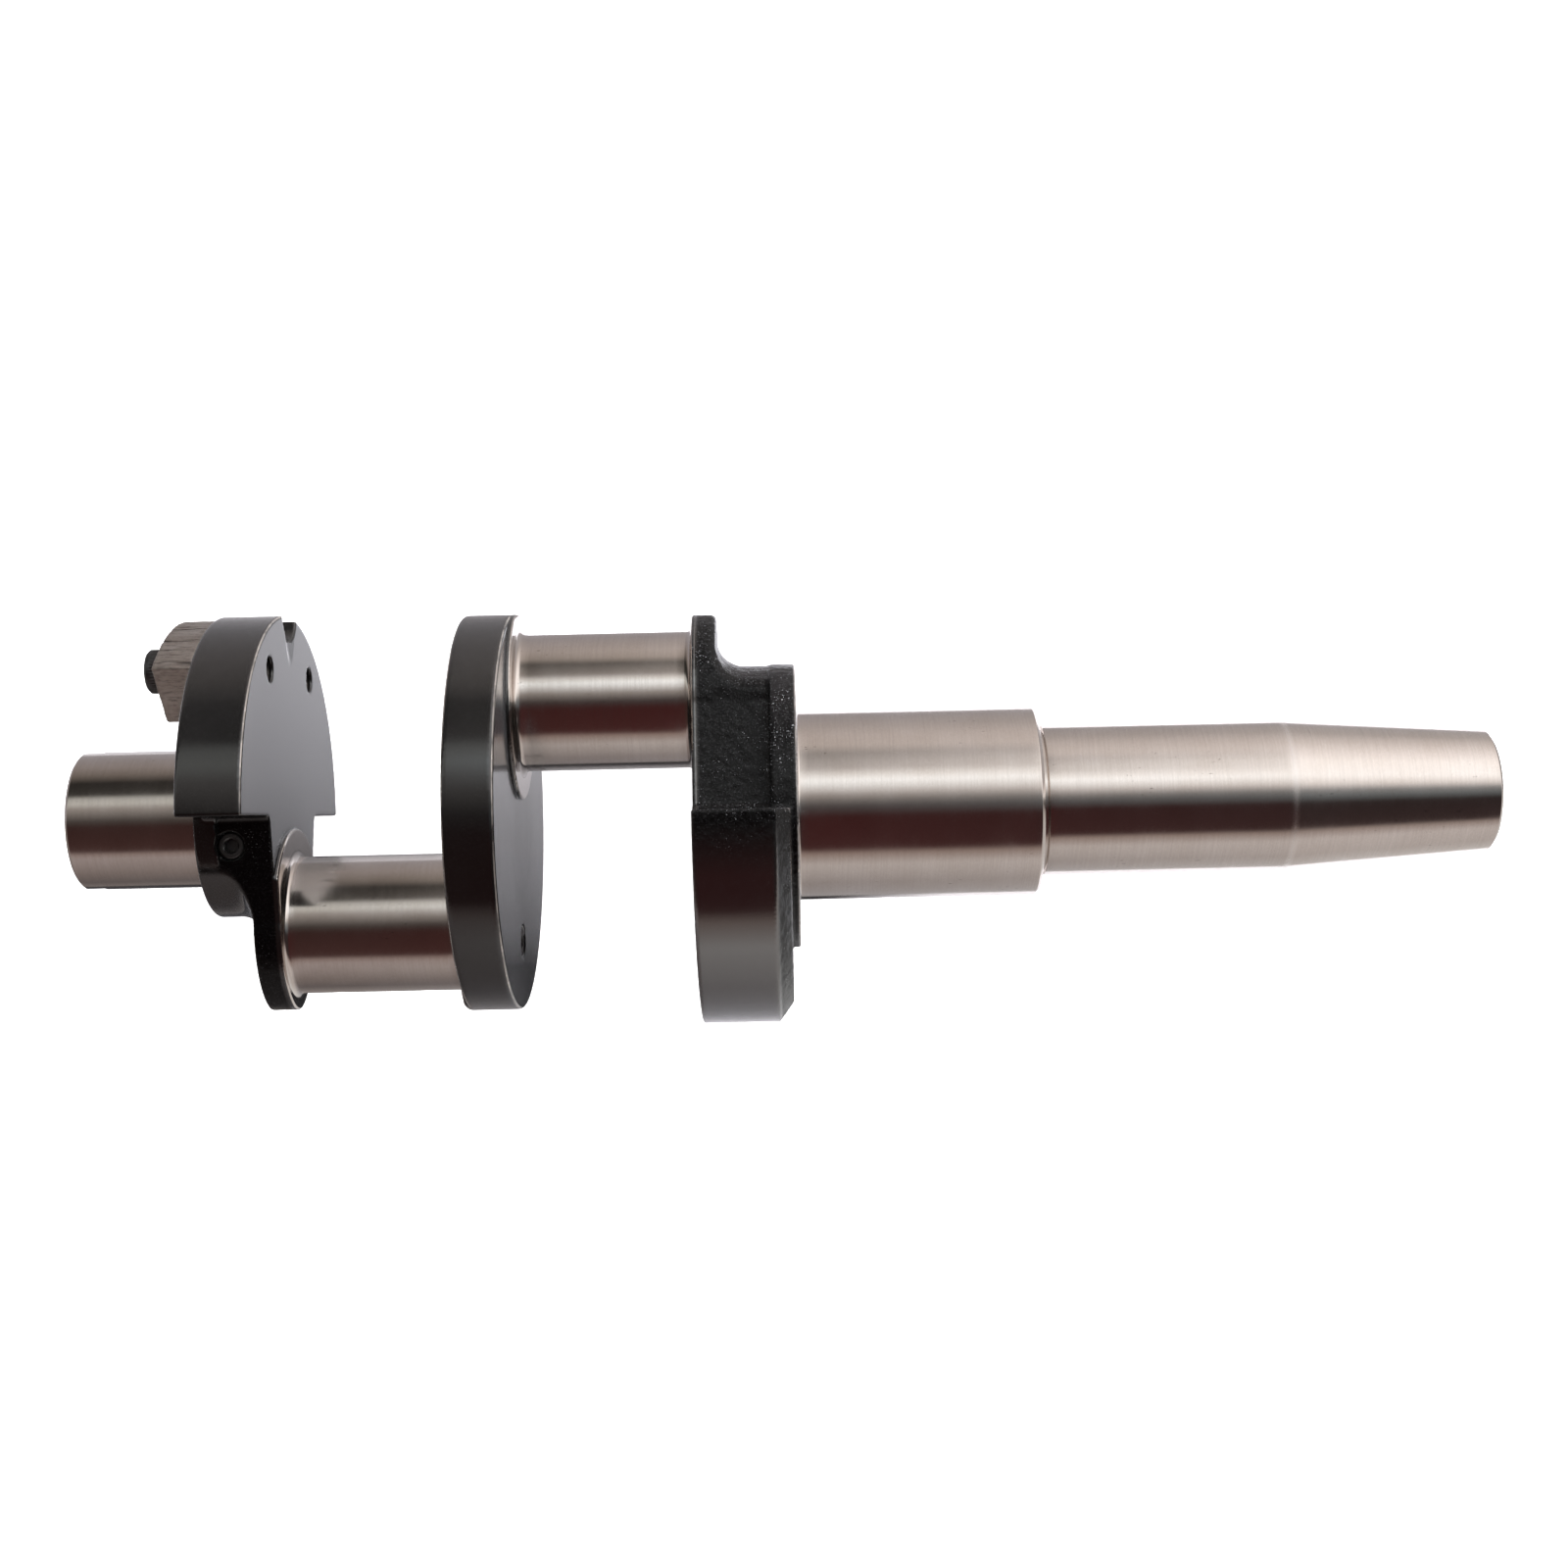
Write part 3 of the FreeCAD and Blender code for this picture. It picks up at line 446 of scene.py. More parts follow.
class Nodes:
    """Short calls for building the node tree of a material or a world."""

    def __init__(self, owner):
        owner.use_nodes = True
        self.tree = owner.node_tree
        self.tree.nodes.clear()

    def add(self, kind, **settings):
        node = self.tree.nodes.new("ShaderNode" + kind)
        for key, value in settings.items():
            setattr(node, key, value)
        return node

    def link(self, source, target):
        self.tree.links.new(source, target)

    def feed(self, socket, value):
        """Link a socket to another, or set it to a number or colour."""
        if isinstance(value, bpy.types.NodeSocket):
            self.link(value, socket)
        else:
            socket.default_value = (*value, 1.0) if isinstance(value, tuple) else value

    def math(self, operation, a, b=0.0):
        node = self.add("Math", operation=operation)
        for socket, value in zip(node.inputs, (a, b)):
            self.feed(socket, value)
        return node.outputs[0]

    def plus(self, a, b):
        return self.math("ADD", a, b)

    def minus(self, a, b):
        return self.math("SUBTRACT", a, b)

    def times(self, a, b):
        return self.math("MULTIPLY", a, b)

    def most(self, a, b):
        return self.math("MAXIMUM", a, b)

    def hypot(self, a, b):
        return self.math("SQRT", self.plus(self.times(a, a), self.times(b, b)))

    def mix(self, share, a, b):
        node = self.add("Mix", data_type="RGBA")
        self.feed(node.inputs[0], share)
        self.feed(node.inputs[6], a)
        self.feed(node.inputs[7], b)
        return node.outputs[2]

    def blend(self, share, a, b):
        """A number between a and b."""
        node = self.add("Mix", data_type="FLOAT")
        self.feed(node.inputs[0], share)
        self.feed(node.inputs[2], a)
        self.feed(node.inputs[3], b)
        return node.outputs[0]

    def place(self):
        """Position on the object, in millimetres."""
        scale = self.add("VectorMath", operation="SCALE")
        self.link(self.add("TexCoord").outputs["Object"], scale.inputs[0])
        scale.inputs["Scale"].default_value = 1 / MM
        return scale.outputs[0]

    def split(self, where):
        """X, Y and Z of a vector."""
        node = self.add("SeparateXYZ")
        self.link(where, node.inputs[0])
        return list(node.outputs)

    def vector(self, x, y, z):
        node = self.add("CombineXYZ")
        for socket, value in zip(node.inputs, (x, y, z)):
            self.feed(socket, value)
        return node.outputs[0]

    def noise(self, where, scale, detail=3.0, rough=0.5):
        node = self.add("TexNoise")
        for socket, value in zip(("Vector", "Scale", "Detail", "Roughness"), (where, scale, detail, rough)):
            self.feed(node.inputs[socket], value)
        return node.outputs["Fac"]

    def ramp(self, value, low, high, a=0.0, b=1.0):
        """Remap value from low..high to a..b, held at the ends."""
        node = self.add("MapRange")
        for socket, number in zip(node.inputs, (value, low, high, a, b)):
            self.feed(socket, number)
        return node.outputs[0]

    def mask(self, name):
        return self.add("Attribute", attribute_name=name).outputs["Fac"]

    def bump(self, height, distance, strength=1.0, under=None):
        node = self.add("Bump")
        node.inputs["Strength"].default_value = strength
        node.inputs["Distance"].default_value = distance * MM
        self.link(height, node.inputs["Height"])
        if under is not None:
            self.link(under, node.inputs["Normal"])
        return node.outputs[0]


class Finish(Nodes):
    """A material made of one Principled shader."""

    def __init__(self, name):
        self.material = bpy.data.materials.new(name)
        super().__init__(self.material)
        self.shader = self.add("BsdfPrincipled")
        out = self.add("OutputMaterial")
        self.link(self.shader.outputs["BSDF"], out.inputs["Surface"])

    def set(self, **values):
        for name, value in values.items():
            self.feed(self.shader.inputs[name.replace("_", " ")], value)


def steel_look(n, axis_y=0.0):
    """Colour, roughness and relief of cylindrically ground steel about an axis at y = axis_y."""
    where = n.place()
    x, y, z = n.split(where)
    drift = n.times(n.noise(where, 0.05, 2.0), 1.5)
    around = n.vector(n.plus(x, drift), n.hypot(n.minus(y, axis_y), z), n.times(y, 0.02))
    fine = n.noise(around, 2.4, 6.0, 0.75)
    broad = n.noise(around, 0.35, 4.0, 0.6)
    stain = n.noise(where, 0.09, 4.0, 0.6)
    grain = n.noise(where, 1.9, 3.0, 0.7)
    tone = n.mix(n.ramp(stain, 0.35, 0.7), (0.60, 0.545, 0.505), (0.65, 0.60, 0.565))
    tone = n.mix(n.ramp(fine, 0.38, 0.66, 0.0, 0.20), tone, (0.42, 0.375, 0.345))
    tone = n.mix(n.ramp(grain, 0.45, 0.75, 0.0, 0.20), tone, (0.76, 0.72, 0.69))
    rough = n.plus(n.ramp(fine, 0.3, 0.7, 0.11, 0.17), n.ramp(stain, 0.4, 0.7, 0.0, 0.04))
    height = n.plus(n.times(fine, 0.35), n.times(broad, 1.1))
    along = n.vector(n.times(x, 0.35), y, z)
    handled = n.ramp(n.noise(where, 0.07, 2.0), 0.50, 0.62)
    nick = n.times(n.ramp(n.noise(along, 1.5, 3.0, 0.6), 0.68, 0.73), handled)
    tone = n.mix(n.times(nick, 0.7), tone, (0.16, 0.14, 0.13))
    # painted highlight: the colour is lighter in a narrow ring where the taper starts, and the surface
    # rougher
    painted_taper_highlight = n.ramp(n.math("ABSOLUTE", n.minus(x, X_TAPER)), 0.15, 1.1, 1.0, 0.0)
    tone = n.mix(n.times(painted_taper_highlight, 0.5), tone, (0.80, 0.76, 0.73))
    rough = n.plus(rough, n.times(painted_taper_highlight, 0.12))
    return tone, rough, height


def ground_steel(name, axis_y=0.0):
    """Cylindrically ground steel: fine lines round the axis, faint stains and handling marks."""
    n = Finish(name)
    tone, rough, height = steel_look(n, axis_y)
    n.set(Base_Color=tone, Metallic=1.0, Roughness=rough, Normal=n.bump(height, 0.004, 0.6))
    return n.material


def pad_mask(n, where, pads):
    """1 on the ground thrust pads; each pad is (x of its plane, y of its pin)."""
    x, y, z = n.split(where)
    total = 0.0
    for pad_x, pin_y in pads:
        inside = n.math("LESS_THAN", n.hypot(n.minus(y, pin_y), z), PAD_RADIUS + 0.1)
        level = n.math("LESS_THAN", n.math("ABSOLUTE", n.minus(x, pad_x)), 0.3)
        total = n.most(total, n.times(inside, level))
    return total


def edge_wear(n, where, edges):
    """Bare metal showing in a broken line along turned edges; each edge is (x, radius, half width)."""
    x, y, z = n.split(where)
    radius = n.hypot(y, z)
    total = 0.0
    for edge_x, edge_radius, width in edges:
        off = n.hypot(n.minus(x, edge_x), n.minus(radius, edge_radius))
        total = n.most(total, n.ramp(off, width * 0.5, width, 1.0, 0.0))
    return n.times(total, n.ramp(n.noise(where, 0.16, 5.0, 0.6), 0.36, 0.62, 0.05, 0.75))


def machined_coat(n, where, grain):
    """Colour, roughness and turning marks of the thin satin finish on machined faces."""
    cloud = n.noise(where, 0.06, 4.0, 0.55)
    y, z = n.split(where)[1:]
    turned = n.vector(n.hypot(y, z), n.times(y, 0.03), 0.0)
    rings = n.noise(turned, 1.1, 4.0, 0.7)
    tone = n.mix(n.ramp(cloud, 0.3, 0.7), (0.0055, 0.0052, 0.0052), (0.009, 0.0085, 0.0085))
    tone = n.mix(n.ramp(grain, 0.50, 0.80, 0.0, 0.4), tone, (0.035, 0.033, 0.033))
    rough = n.plus(n.ramp(cloud, 0.3, 0.7, 0.10, 0.15), n.ramp(rings, 0.35, 0.65, -0.025, 0.03))
    return tone, rough, rings


def cast_coat(n, where, sand):
    """Colour, roughness and relief of the thick pitted finish on rough casting, with painted glints:
    scattered light specks in its colour.
    """
    pits = n.noise(where, 1.7, 5.0, 0.7)
    lumps = n.noise(where, 0.42, 3.0, 0.55)
    dusty = n.ramp(pits, 0.52, 0.72, 0.0, 0.2 + 0.3 * sand)
    tone = n.mix(dusty, (0.002, 0.002, 0.0022), (0.05, 0.05, 0.053))
    bright = 0.15 + 0.65 * sand
    patchy = n.ramp(n.noise(where, 0.10, 4.0, 0.65), 0.47, 0.64, 0.08 * bright, bright)
    # painted glints: small light specks in the colour stand in for highlights on the pitted casting
    painted_glint = n.times(n.ramp(n.noise(where, 2.3, 3.0, 0.75), 0.645, 0.685), patchy)
    tone = n.mix(painted_glint, tone, (0.75, 0.77, 0.82))
    rough = n.ramp(pits, 0.35, 0.7, 0.26, 0.16)
    return tone, rough, n.plus(pits, n.times(lumps, 0.9))


def dark_coat(name, pads, edges, gloss, velvet, sand):
    """Thin black finish on a web, satin where it was machined and thick and pitted where it is as cast; its
    thrust pads are bare ground steel and its turned edges are rubbed. gloss is the index of the machined
    finish, velvet is how much it brightens at a low angle, and sand is how gritty the casting is and how
    many glints are painted on it, with 0 for a web that is machined all over."""
    n = Finish(name)
    where = n.place()
    cast = n.mask("cast")
    pad = pad_mask(n, where, pads)
    worn = edge_wear(n, where, edges)
    bare = n.most(pad, worn)
    grain = n.noise(where, 2.6, 3.0, 0.65)
    smooth_tone, smooth_rough, rings = machined_coat(n, where, grain)
    cast_tone, cast_rough, cast_relief = cast_coat(n, where, sand)
    steel_tone, steel_rough = steel_look(n, pads[0][1])[:2]
    tone = n.mix(bare, n.mix(cast, smooth_tone, cast_tone), steel_tone)
    rough = n.blend(pad, n.blend(cast, smooth_rough, cast_rough), steel_rough)
    rough = n.blend(worn, rough, 0.35)
    fine = n.bump(n.plus(grain, rings), 0.004, 0.5)
    coarse = n.bump(n.times(cast_relief, cast), 0.05 + 0.06 * sand, 0.8, fine)
    n.set(Base_Color=tone, Metallic=bare, Roughness=rough, Normal=coarse)
    n.set(Sheen_Weight=n.times(n.minus(1.0, n.most(bare, cast)), velvet), Sheen_Roughness=0.25,
          Sheen_Tint=(0.95, 0.94, 1.0))
    n.set(IOR=n.blend(cast, gloss, 1.28 + 0.04 * sand) if sand else gloss)
    return n.material


def sawn_steel(name):
    """Rough sawn counterweight: brown-grey metal with dark furrows."""
    n = Finish(name)
    where = n.place()
    x, y, z = n.split(where)
    cloud = n.noise(where, 0.12, 4.0, 0.6)
    grain = n.noise(n.vector(n.times(x, 0.25), y, z), 1.8, 4.0, 0.65)
    tone = n.mix(n.ramp(cloud, 0.3, 0.7), (0.37, 0.32, 0.285), (0.48, 0.44, 0.41))
    tone = n.mix(n.ramp(grain, 0.48, 0.72, 0.0, 0.7), tone, (0.14, 0.12, 0.11))
    tone = n.mix(n.times(n.mask("furrow"), 0.95), tone, (0.025, 0.021, 0.02))
    rough = n.ramp(grain, 0.3, 0.7, 0.34, 0.5)
    n.set(Base_Color=tone, Metallic=0.9, Roughness=rough, Normal=n.bump(grain, 0.16, 0.7))
    return n.material


def black_oxide(name):
    """Blackened screw steel, slightly worn."""
    n = Finish(name)
    where = n.place()
    grain = n.noise(where, 1.4, 3.0, 0.6)
    worn = n.noise(where, 0.5, 4.0, 0.6)
    tone = n.mix(n.ramp(worn, 0.5, 0.75), (0.008, 0.008, 0.009), (0.03, 0.028, 0.027))
    rough = n.ramp(grain, 0.3, 0.7, 0.30, 0.45)
    n.set(Base_Color=tone, Roughness=rough, IOR=1.8, Normal=n.bump(grain, 0.03, 0.5))
    return n.material


def plug_steel(name):
    """Oiled dark steel of the gallery plugs and of bare tapped holes."""
    n = Finish(name)
    grain = n.noise(n.place(), 1.2, 4.0, 0.6)
    tone = n.mix(n.ramp(grain, 0.35, 0.65), (0.02, 0.018, 0.017), (0.07, 0.065, 0.06))
    rough = n.ramp(grain, 0.3, 0.7, 0.28, 0.42)
    n.set(Base_Color=tone, Metallic=0.7, Roughness=rough, Normal=n.bump(grain, 0.05, 0.5))
    return n.material


def floor_material(name):
    """Plain pale table, lit evenly by itself."""
    n = Finish(name)
    cloud = n.noise(n.place(), 0.004, 2.0)
    n.set(Base_Color=n.mix(cloud, (0.86, 0.86, 0.86), (0.88, 0.88, 0.88)), Roughness=0.9,
          Specular_IOR_Level=0.1, Emission_Color=(1.0, 1.0, 1.0), Emission_Strength=0.95)
    return n.material


def card_material(name):
    """The table close to the crank as its shiny parts mirror it, with the crank's shadow painted on it:
    dark towards -Y, but less so beyond the drive-end web, and darker left of the disc."""
    n = Finish(name)
    x, y = n.split(n.place())[:2]
    dark_y, pale_y, past_web = -40.0, 12.0, X_THRUST + 4.0
    slant = n.times(n.most(n.minus(x, past_web), 0.0), 1.6)
    left = n.ramp(x, X_DISC_LEFT - 20, X_DISC_LEFT, 0.48, 1.0)
    # painted shadow: the card is darkened towards -Y and left of the disc, where the crank shades the table
    shade = n.times(n.ramp(n.plus(y, slant), dark_y, pale_y), left)
    n.set(Base_Color=n.mix(shade, (0.03, 0.03, 0.033), (0.93, 0.93, 0.99)), Roughness=0.9,
          Specular_IOR_Level=0.1)
    return n.material


STEEL = ground_steel("ground_steel")
PIN_1_STEEL = ground_steel("ground_steel_pin_1", -THROW)
PIN_2_STEEL = ground_steel("ground_steel_pin_2", THROW)
PUMP_COAT = dark_coat("pump_web_coat", pads=[(X_PUMP_PAD, -THROW)],
                      edges=[(X_PUMP_INNER - 0.2, HALF_DISC_RADIUS - 0.2, 0.26)],
                      gloss=1.75, velvet=0.3, sand=0.25)
DISC_COAT = dark_coat("disc_coat", pads=[(X_DISC_PAD_LEFT, -THROW), (X_DISC_PAD_RIGHT, THROW)],
                      edges=[(X_DISC_RIGHT - 0.25, DISC_RADIUS - 0.25, 0.26),
                             (X_DISC_LEFT + 0.25, DISC_RADIUS - 0.25, 0.22)],
                      gloss=1.75, velvet=0.05, sand=0.0)
DRIVE_COAT = dark_coat("drive_web_coat", pads=[(X_DRIVE_PAD, THROW)],
                       edges=[(X_THRUST - 0.2, COLLAR_RADIUS - 0.2, 0.26)],
                       gloss=2.75, velvet=0.9, sand=1.0)
SAWN = sawn_steel("sawn_steel")
BLACK = black_oxide("black_oxide")
PLUG = plug_steel("plug_steel")

# ------------- the webs


def web_outline(u, z, root):
    """Distance outside a neck and its boss, seen along the crank axis; u runs from the axis to the pin."""
    w = np.abs(z)
    slope = (root - NECK_TIP) / NECK_TIP_OFFSET
    straight = (w - NECK_TIP - (NECK_TIP_OFFSET - u) * slope) / math.hypot(1, slope)
    run_w, run_u = BOSS_TIP_HALF - NECK_TIP, BOSS_TIP_OFFSET - NECK_TIP_OFFSET
    chord = math.hypot(run_w, run_u)
    sag = math.sqrt(BOSS_SIDE_RADIUS ** 2 - chord ** 2 / 4)
    side_w = (NECK_TIP + BOSS_TIP_HALF) / 2 - run_u / chord * sag
    side_u = (NECK_TIP_OFFSET + BOSS_TIP_OFFSET) / 2 + run_w / chord * sag
    tip_u = BOSS_TIP_OFFSET - math.sqrt(BOSS_TIP_RADIUS ** 2 - BOSS_TIP_HALF ** 2)
    side = np.hypot(w - side_w, u - side_u) - BOSS_SIDE_RADIUS
    tip = np.hypot(w, u - tip_u) - BOSS_TIP_RADIUS
    past_side = w * (BOSS_TIP_OFFSET - tip_u) < BOSS_TIP_HALF * (u - tip_u)
    outline = np.where(u > NECK_TIP_OFFSET, np.where(past_side, tip, side), straight)
    return np.maximum(outline, -NECK_START - u)


def pin_side(x, y, z, inner, pin_y, sense):
    """Distance outside a web's face with the thrust pad round its pin; sense is 1 if +X is outside."""
    from_pin = np.hypot(y - pin_y, z)
    pad = common((x - inner) * sense - PAD_HEIGHT, from_pin - PAD_RADIUS, PAD_EDGE)
    return join((x - inner) * sense, pad, PAD_ROOT)


def scallop(x, y, z):
    """Distance inside the slanting groove that runs from the notch down the half disc's inner face."""
    c, s = math.cos(SCALLOP_ANGLE), math.sin(SCALLOP_ANGLE)
    off = (x - X_PUMP_INNER - SCALLOP_EASE - SCALLOP_RADIUS * c) * c
    off = off + (y - SCALLOP_TIP - SCALLOP_RADIUS * s) * s
    return SCALLOP_RADIUS - np.hypot(off, z)


def pump_web(x, y, z):
    from_axis = np.hypot(y, z)
    neck = web_outline(-y, z, NECK_ROOT)
    turned = join(from_axis - HUB_RADIUS, X_PUMP_PLATE - x, WEB_FILLET)
    neck = common(common(neck, turned, PUMP_NECK_EDGE), X_HUB - x, PUMP_EDGE)
    hub = common(from_axis - HUB_RADIUS, X_HUB - x, PUMP_EDGE)
    hub = np.maximum(hub, x - X_HUB - HUB_DEPTH)
    half = common(from_axis - HALF_DISC_RADIUS, X_PUMP_FACE - x, PUMP_EDGE)
    half = common(half, HALF_DISC_LEDGE - y, LEDGE_EDGE)
    web = join(np.minimum(neck, hub), half, PUMP_ROOT)
    web = common(web, pin_side(x, y, z, X_PUMP_INNER, -THROW, 1), PIN_SIDE_EDGE)
    web = common(web, NOTCH_RADIUS - np.hypot(y - NOTCH_CENTRE, z), NOTCH_EDGE)
    web = common(web, scallop(x, y, z), SCALLOP_EDGE)
    mouth = np.maximum(0, TAPPED_MOUTH - np.minimum(x - X_PUMP_FACE, X_PUMP_INNER - x))
    web = np.maximum(web, TAPPED_RADIUS + mouth - np.hypot(y - SCREW_Y, np.abs(z) - SCREW_Z))
    seat_x, seat_y = (hub_plug_low[0] + hub_plug_high[0]) / 2, (hub_plug_low[1] + hub_plug_high[1]) / 2
    seat = HUB_SEAT_RADIUS - np.hypot(x - seat_x, y - seat_y)
    return common(web, np.minimum(seat, z - hub_plug_low[2]), SEAT_EDGE)


def centre_disc(x, y, z):
    disc = np.hypot(y, z) - DISC_RADIUS
    disc = common(disc, pin_side(x, y, z, X_DISC_LEFT, -THROW, -1), DISC_EDGE)
    disc = common(disc, pin_side(x, y, z, X_DISC_RIGHT, THROW, 1), DISC_EDGE)
    radius, mouth = PLUG_RADIUS + 0.05, 0.5
    right = radius + np.maximum(0, x - X_DISC_RIGHT + mouth) - np.hypot(y + PIN_PLUG_OFFSET, z)
    left = radius + np.maximum(0, X_DISC_LEFT + mouth - x) - np.hypot(y - PIN_PLUG_OFFSET, z)
    rim = radius - np.hypot(x - (X_DISC_LEFT + X_DISC_RIGHT) / 2, z)
    disc = np.maximum(disc, np.minimum(right, x - X_DISC_RIGHT + PLUG_SEAT_DEPTH))
    disc = np.maximum(disc, np.minimum(left, X_DISC_LEFT + PLUG_SEAT_DEPTH - x))
    return common(disc, np.minimum(rim, PLUG_SEAT_DEPTH - DISC_RADIUS - y), 0.3)


def drive_web(x, y, z):
    from_axis = np.hypot(y, z)
    neck = web_outline(y, z, DRIVE_NECK_ROOT)
    turned = join(from_axis - DRIVE_HUB_RADIUS, x - X_DRIVE_PLATE, WEB_FILLET)
    neck = common(common(neck, turned, DRIVE_NECK_EDGE), X_DRIVE_PAD - x, PIN_SIDE_EDGE)
    bevel = (x - X_DRIVE_FACE + BEVEL_WIDTH) * BEVEL + (from_axis - COUNTERWEIGHT_RADIUS) * BEVEL_WIDTH
    weight = common(from_axis - COUNTERWEIGHT_RADIUS, x - X_DRIVE_FACE, DRIVE_EDGE)
    weight = common(weight, bevel / math.hypot(BEVEL, BEVEL_WIDTH), BEVEL_EDGE)
    weight = common(weight, y + COUNTERWEIGHT_LEDGE, DRIVE_LEDGE_EDGE)
    weight = common(weight, X_DRIVE_INNER - x, PIN_SIDE_EDGE)
    web = common(join(neck, weight, DRIVE_ROOT), x - X_DRIVE_FACE, DRIVE_EDGE)
    collar = common(from_axis - COLLAR_RADIUS, x - X_THRUST, COLLAR_EDGE)
    collar = common(collar, X_THRUST - COLLAR_WIDTH - x, COLLAR_EDGE)
    return join(web, collar, COLLAR_ROOT)


def near(distance, width=0.35):
    """1 on a surface, falling to 0 a little way off it."""
    return np.exp(-(distance / width) ** 2)


def web_object(name, solid, left, right, reach, step, material):
    """A web meshed between two planes, out to reach from the crank axis, and where its vertices are."""
    web = solid_object(name, solid, (left, -reach, -reach), (right, reach, reach), step, material)
    return web, *(vertex_array(web) / MM).T


def make_webs():
    pump, x, y, z = web_object("pump_end_web", pump_web, X_HUB, X_PUMP_PAD, 48, WEB_STEP, PUMP_COAT)
    neck = np.maximum(near(web_outline(-y, z, NECK_ROOT)), near(y - HALF_DISC_LEDGE))
    neck *= (y < 1) * (x > X_HUB + 0.3) * (x < X_PUMP_INNER - 0.15)
    paint(pump, "cast", neck)
    roughen(pump, neck, 1.6, 0.06)

    disc, x, y, z = web_object("centre_disc", centre_disc, X_DISC_PAD_LEFT, X_DISC_PAD_RIGHT, 47, WEB_STEP,
                               DISC_COAT)
    paint(disc, "cast", np.zeros(len(x)))

    drive, x, y, z = web_object("drive_end_web", drive_web, X_DRIVE_PAD, X_THRUST, 51, DRIVE_STEP,
                                DRIVE_COAT)
    rim = near(np.hypot(y, z) - COUNTERWEIGHT_RADIUS, 0.5) * np.clip((-y - 3) / 12, 0, 1)
    inner = near(np.minimum(np.abs(x - X_DRIVE_INNER), np.abs(x - X_DRIVE_PAD)))
    machined = np.maximum(np.maximum(rim, inner), near(x - X_THRUST))
    paint(drive, "cast", 1 - machined)
    roughen(drive, 1 - machined, 1.8, 0.09)
    return [pump, disc, drive]


# ------------- crankpins and shafts


def make_crankpin(name, left, right, axis_y, material):
    """One ground crankpin, its root fillets running into the thrust pads."""
    root, inside = PIN_RADIUS + FILLET, PIN_RADIUS - 1
    profile = rounded([
        (left - 2, 0), (left - 2, inside), (left - 0.3, root - 0.5), (left, root),
        (left, PIN_RADIUS, FILLET - 0.05), (right, PIN_RADIUS, FILLET - 0.05),
        (right, root), (right + 0.3, root - 0.5), (right + 2, inside), (right + 2, 0),
    ])
    return lathe(name, profile, material, axis_y)


def make_pump_journal():
    """The pump-end main journal, with the bore and cross slot that drive the oil pump."""
    chamfer, root = 0.7, PUMP_JOURNAL_RADIUS + FILLET
    profile = rounded([
        (X_PUMP_END, 0), (X_PUMP_END, PUMP_JOURNAL_RADIUS - chamfer, 0.2),
        (X_PUMP_END + chamfer, PUMP_JOURNAL_RADIUS, 0.3), (X_HUB, PUMP_JOURNAL_RADIUS, FILLET),
        (X_HUB, root), (X_HUB + 1, root), (X_HUB + 1, 0),
    ])
    journal = lathe("pump_end_journal", profile, STEEL)
    slot_half, slot_depth, across = 3.0, 5.0, 20
    slot = prism([(-across, -slot_half), (across, -slot_half), (across, slot_half), (-across, slot_half)],
                 (X_PUMP_END - 1, 0, 0), (1, 0, 0), slot_depth + 1)
    bore_end, gallery_radius, gallery_depth = X_PUMP_END + PUMP_BORE_DEPTH - 1, 4.5, 22
    cut(journal,
        drilled((X_PUMP_END, 0, 0), (1, 0, 0), PUMP_BORE_RADIUS, PUMP_BORE_DEPTH, 0.5),
        drilled((bore_end, 0, 0), (1, 0, 0), gallery_radius, gallery_depth))
    oil_x = X_HUB - 15.6
    cut(journal, slot,
        drilled((oil_x, 0, -PUMP_JOURNAL_RADIUS), (0, 0, 1), OIL_HOLE_RADIUS, 12, 0.5))
    return journal


def make_drive_shaft():
    """The drive-end main journal, seal shaft and taper in one, and the thread in the taper's end."""
    relief = SEAL_RADIUS - 0.5
    profile = rounded([
        (X_THRUST - 2, 0), (X_THRUST - 2, MAIN_RADIUS + 0.6), (X_THRUST, MAIN_RADIUS + 0.6),
        (X_THRUST, MAIN_RADIUS, 0.5),
        (X_MAIN_END - 0.8, MAIN_RADIUS, 0.3), (X_MAIN_END, MAIN_RADIUS - 0.8, 0.2),
        (X_MAIN_END, relief, 0.3), (X_MAIN_END + 1.2, relief, 0.2),
        (X_MAIN_END + 1.5, SEAL_RADIUS, 0.2), (X_TAPER, SEAL_RADIUS),
        (X_END - 0.7, TAPER_RADIUS, 0.3), (X_END, TAPER_RADIUS - 0.7, 0.2), (X_END, 0),
    ])
    shaft = lathe("drive_shaft", profile, STEEL, steps=256)
    major, mouth, depth = 5.0, 6.0, 24
    hole = [(-1, 0), (-1, mouth + 1), (0, mouth), (1.2, major + 0.1), (depth, major + 0.1), (depth + 4, 0)]
    cut(shaft, turned_cutter((X_END, 0, 0), (-1, 0, 0), hole))
    oil_x = X_THRUST + (X_MAIN_END - X_THRUST) * 0.35
    cut(shaft, drilled((oil_x, -MAIN_RADIUS, 0), (-0.7, 1, 0), 2.25, 14, 0.6))
    thread = inner_thread("end_thread", (X_END - 1.6, 0, 0), (-1, 0, 0), 21, major, 1.5, PLUG)
    return [shaft, thread]


def make_pins():
    """Both crankpins, each with an oil hole for either of its two rods on the side away from the axis."""
    pins = []
    for name, left, right, pin_y, material in (
            ("crankpin_1_surface", X_PUMP_PAD, X_DISC_PAD_LEFT, -THROW, PIN_1_STEEL),
            ("crankpin_2_surface", X_DISC_PAD_RIGHT, X_DRIVE_PAD, THROW, PIN_2_STEEL)):
        pin = make_crankpin(name, left, right, pin_y, material)
        side = math.copysign(1, pin_y)
        quarter = (right - left) / 4
        for x in (left + quarter, right - quarter):
            cut(pin, drilled((x, pin_y + side * PIN_RADIUS, 0), (0, -side, 0), OIL_HOLE_RADIUS, 10, 0.6))
        pins.append(pin)
    return pins


# ------------- bolted block, screws and plugs


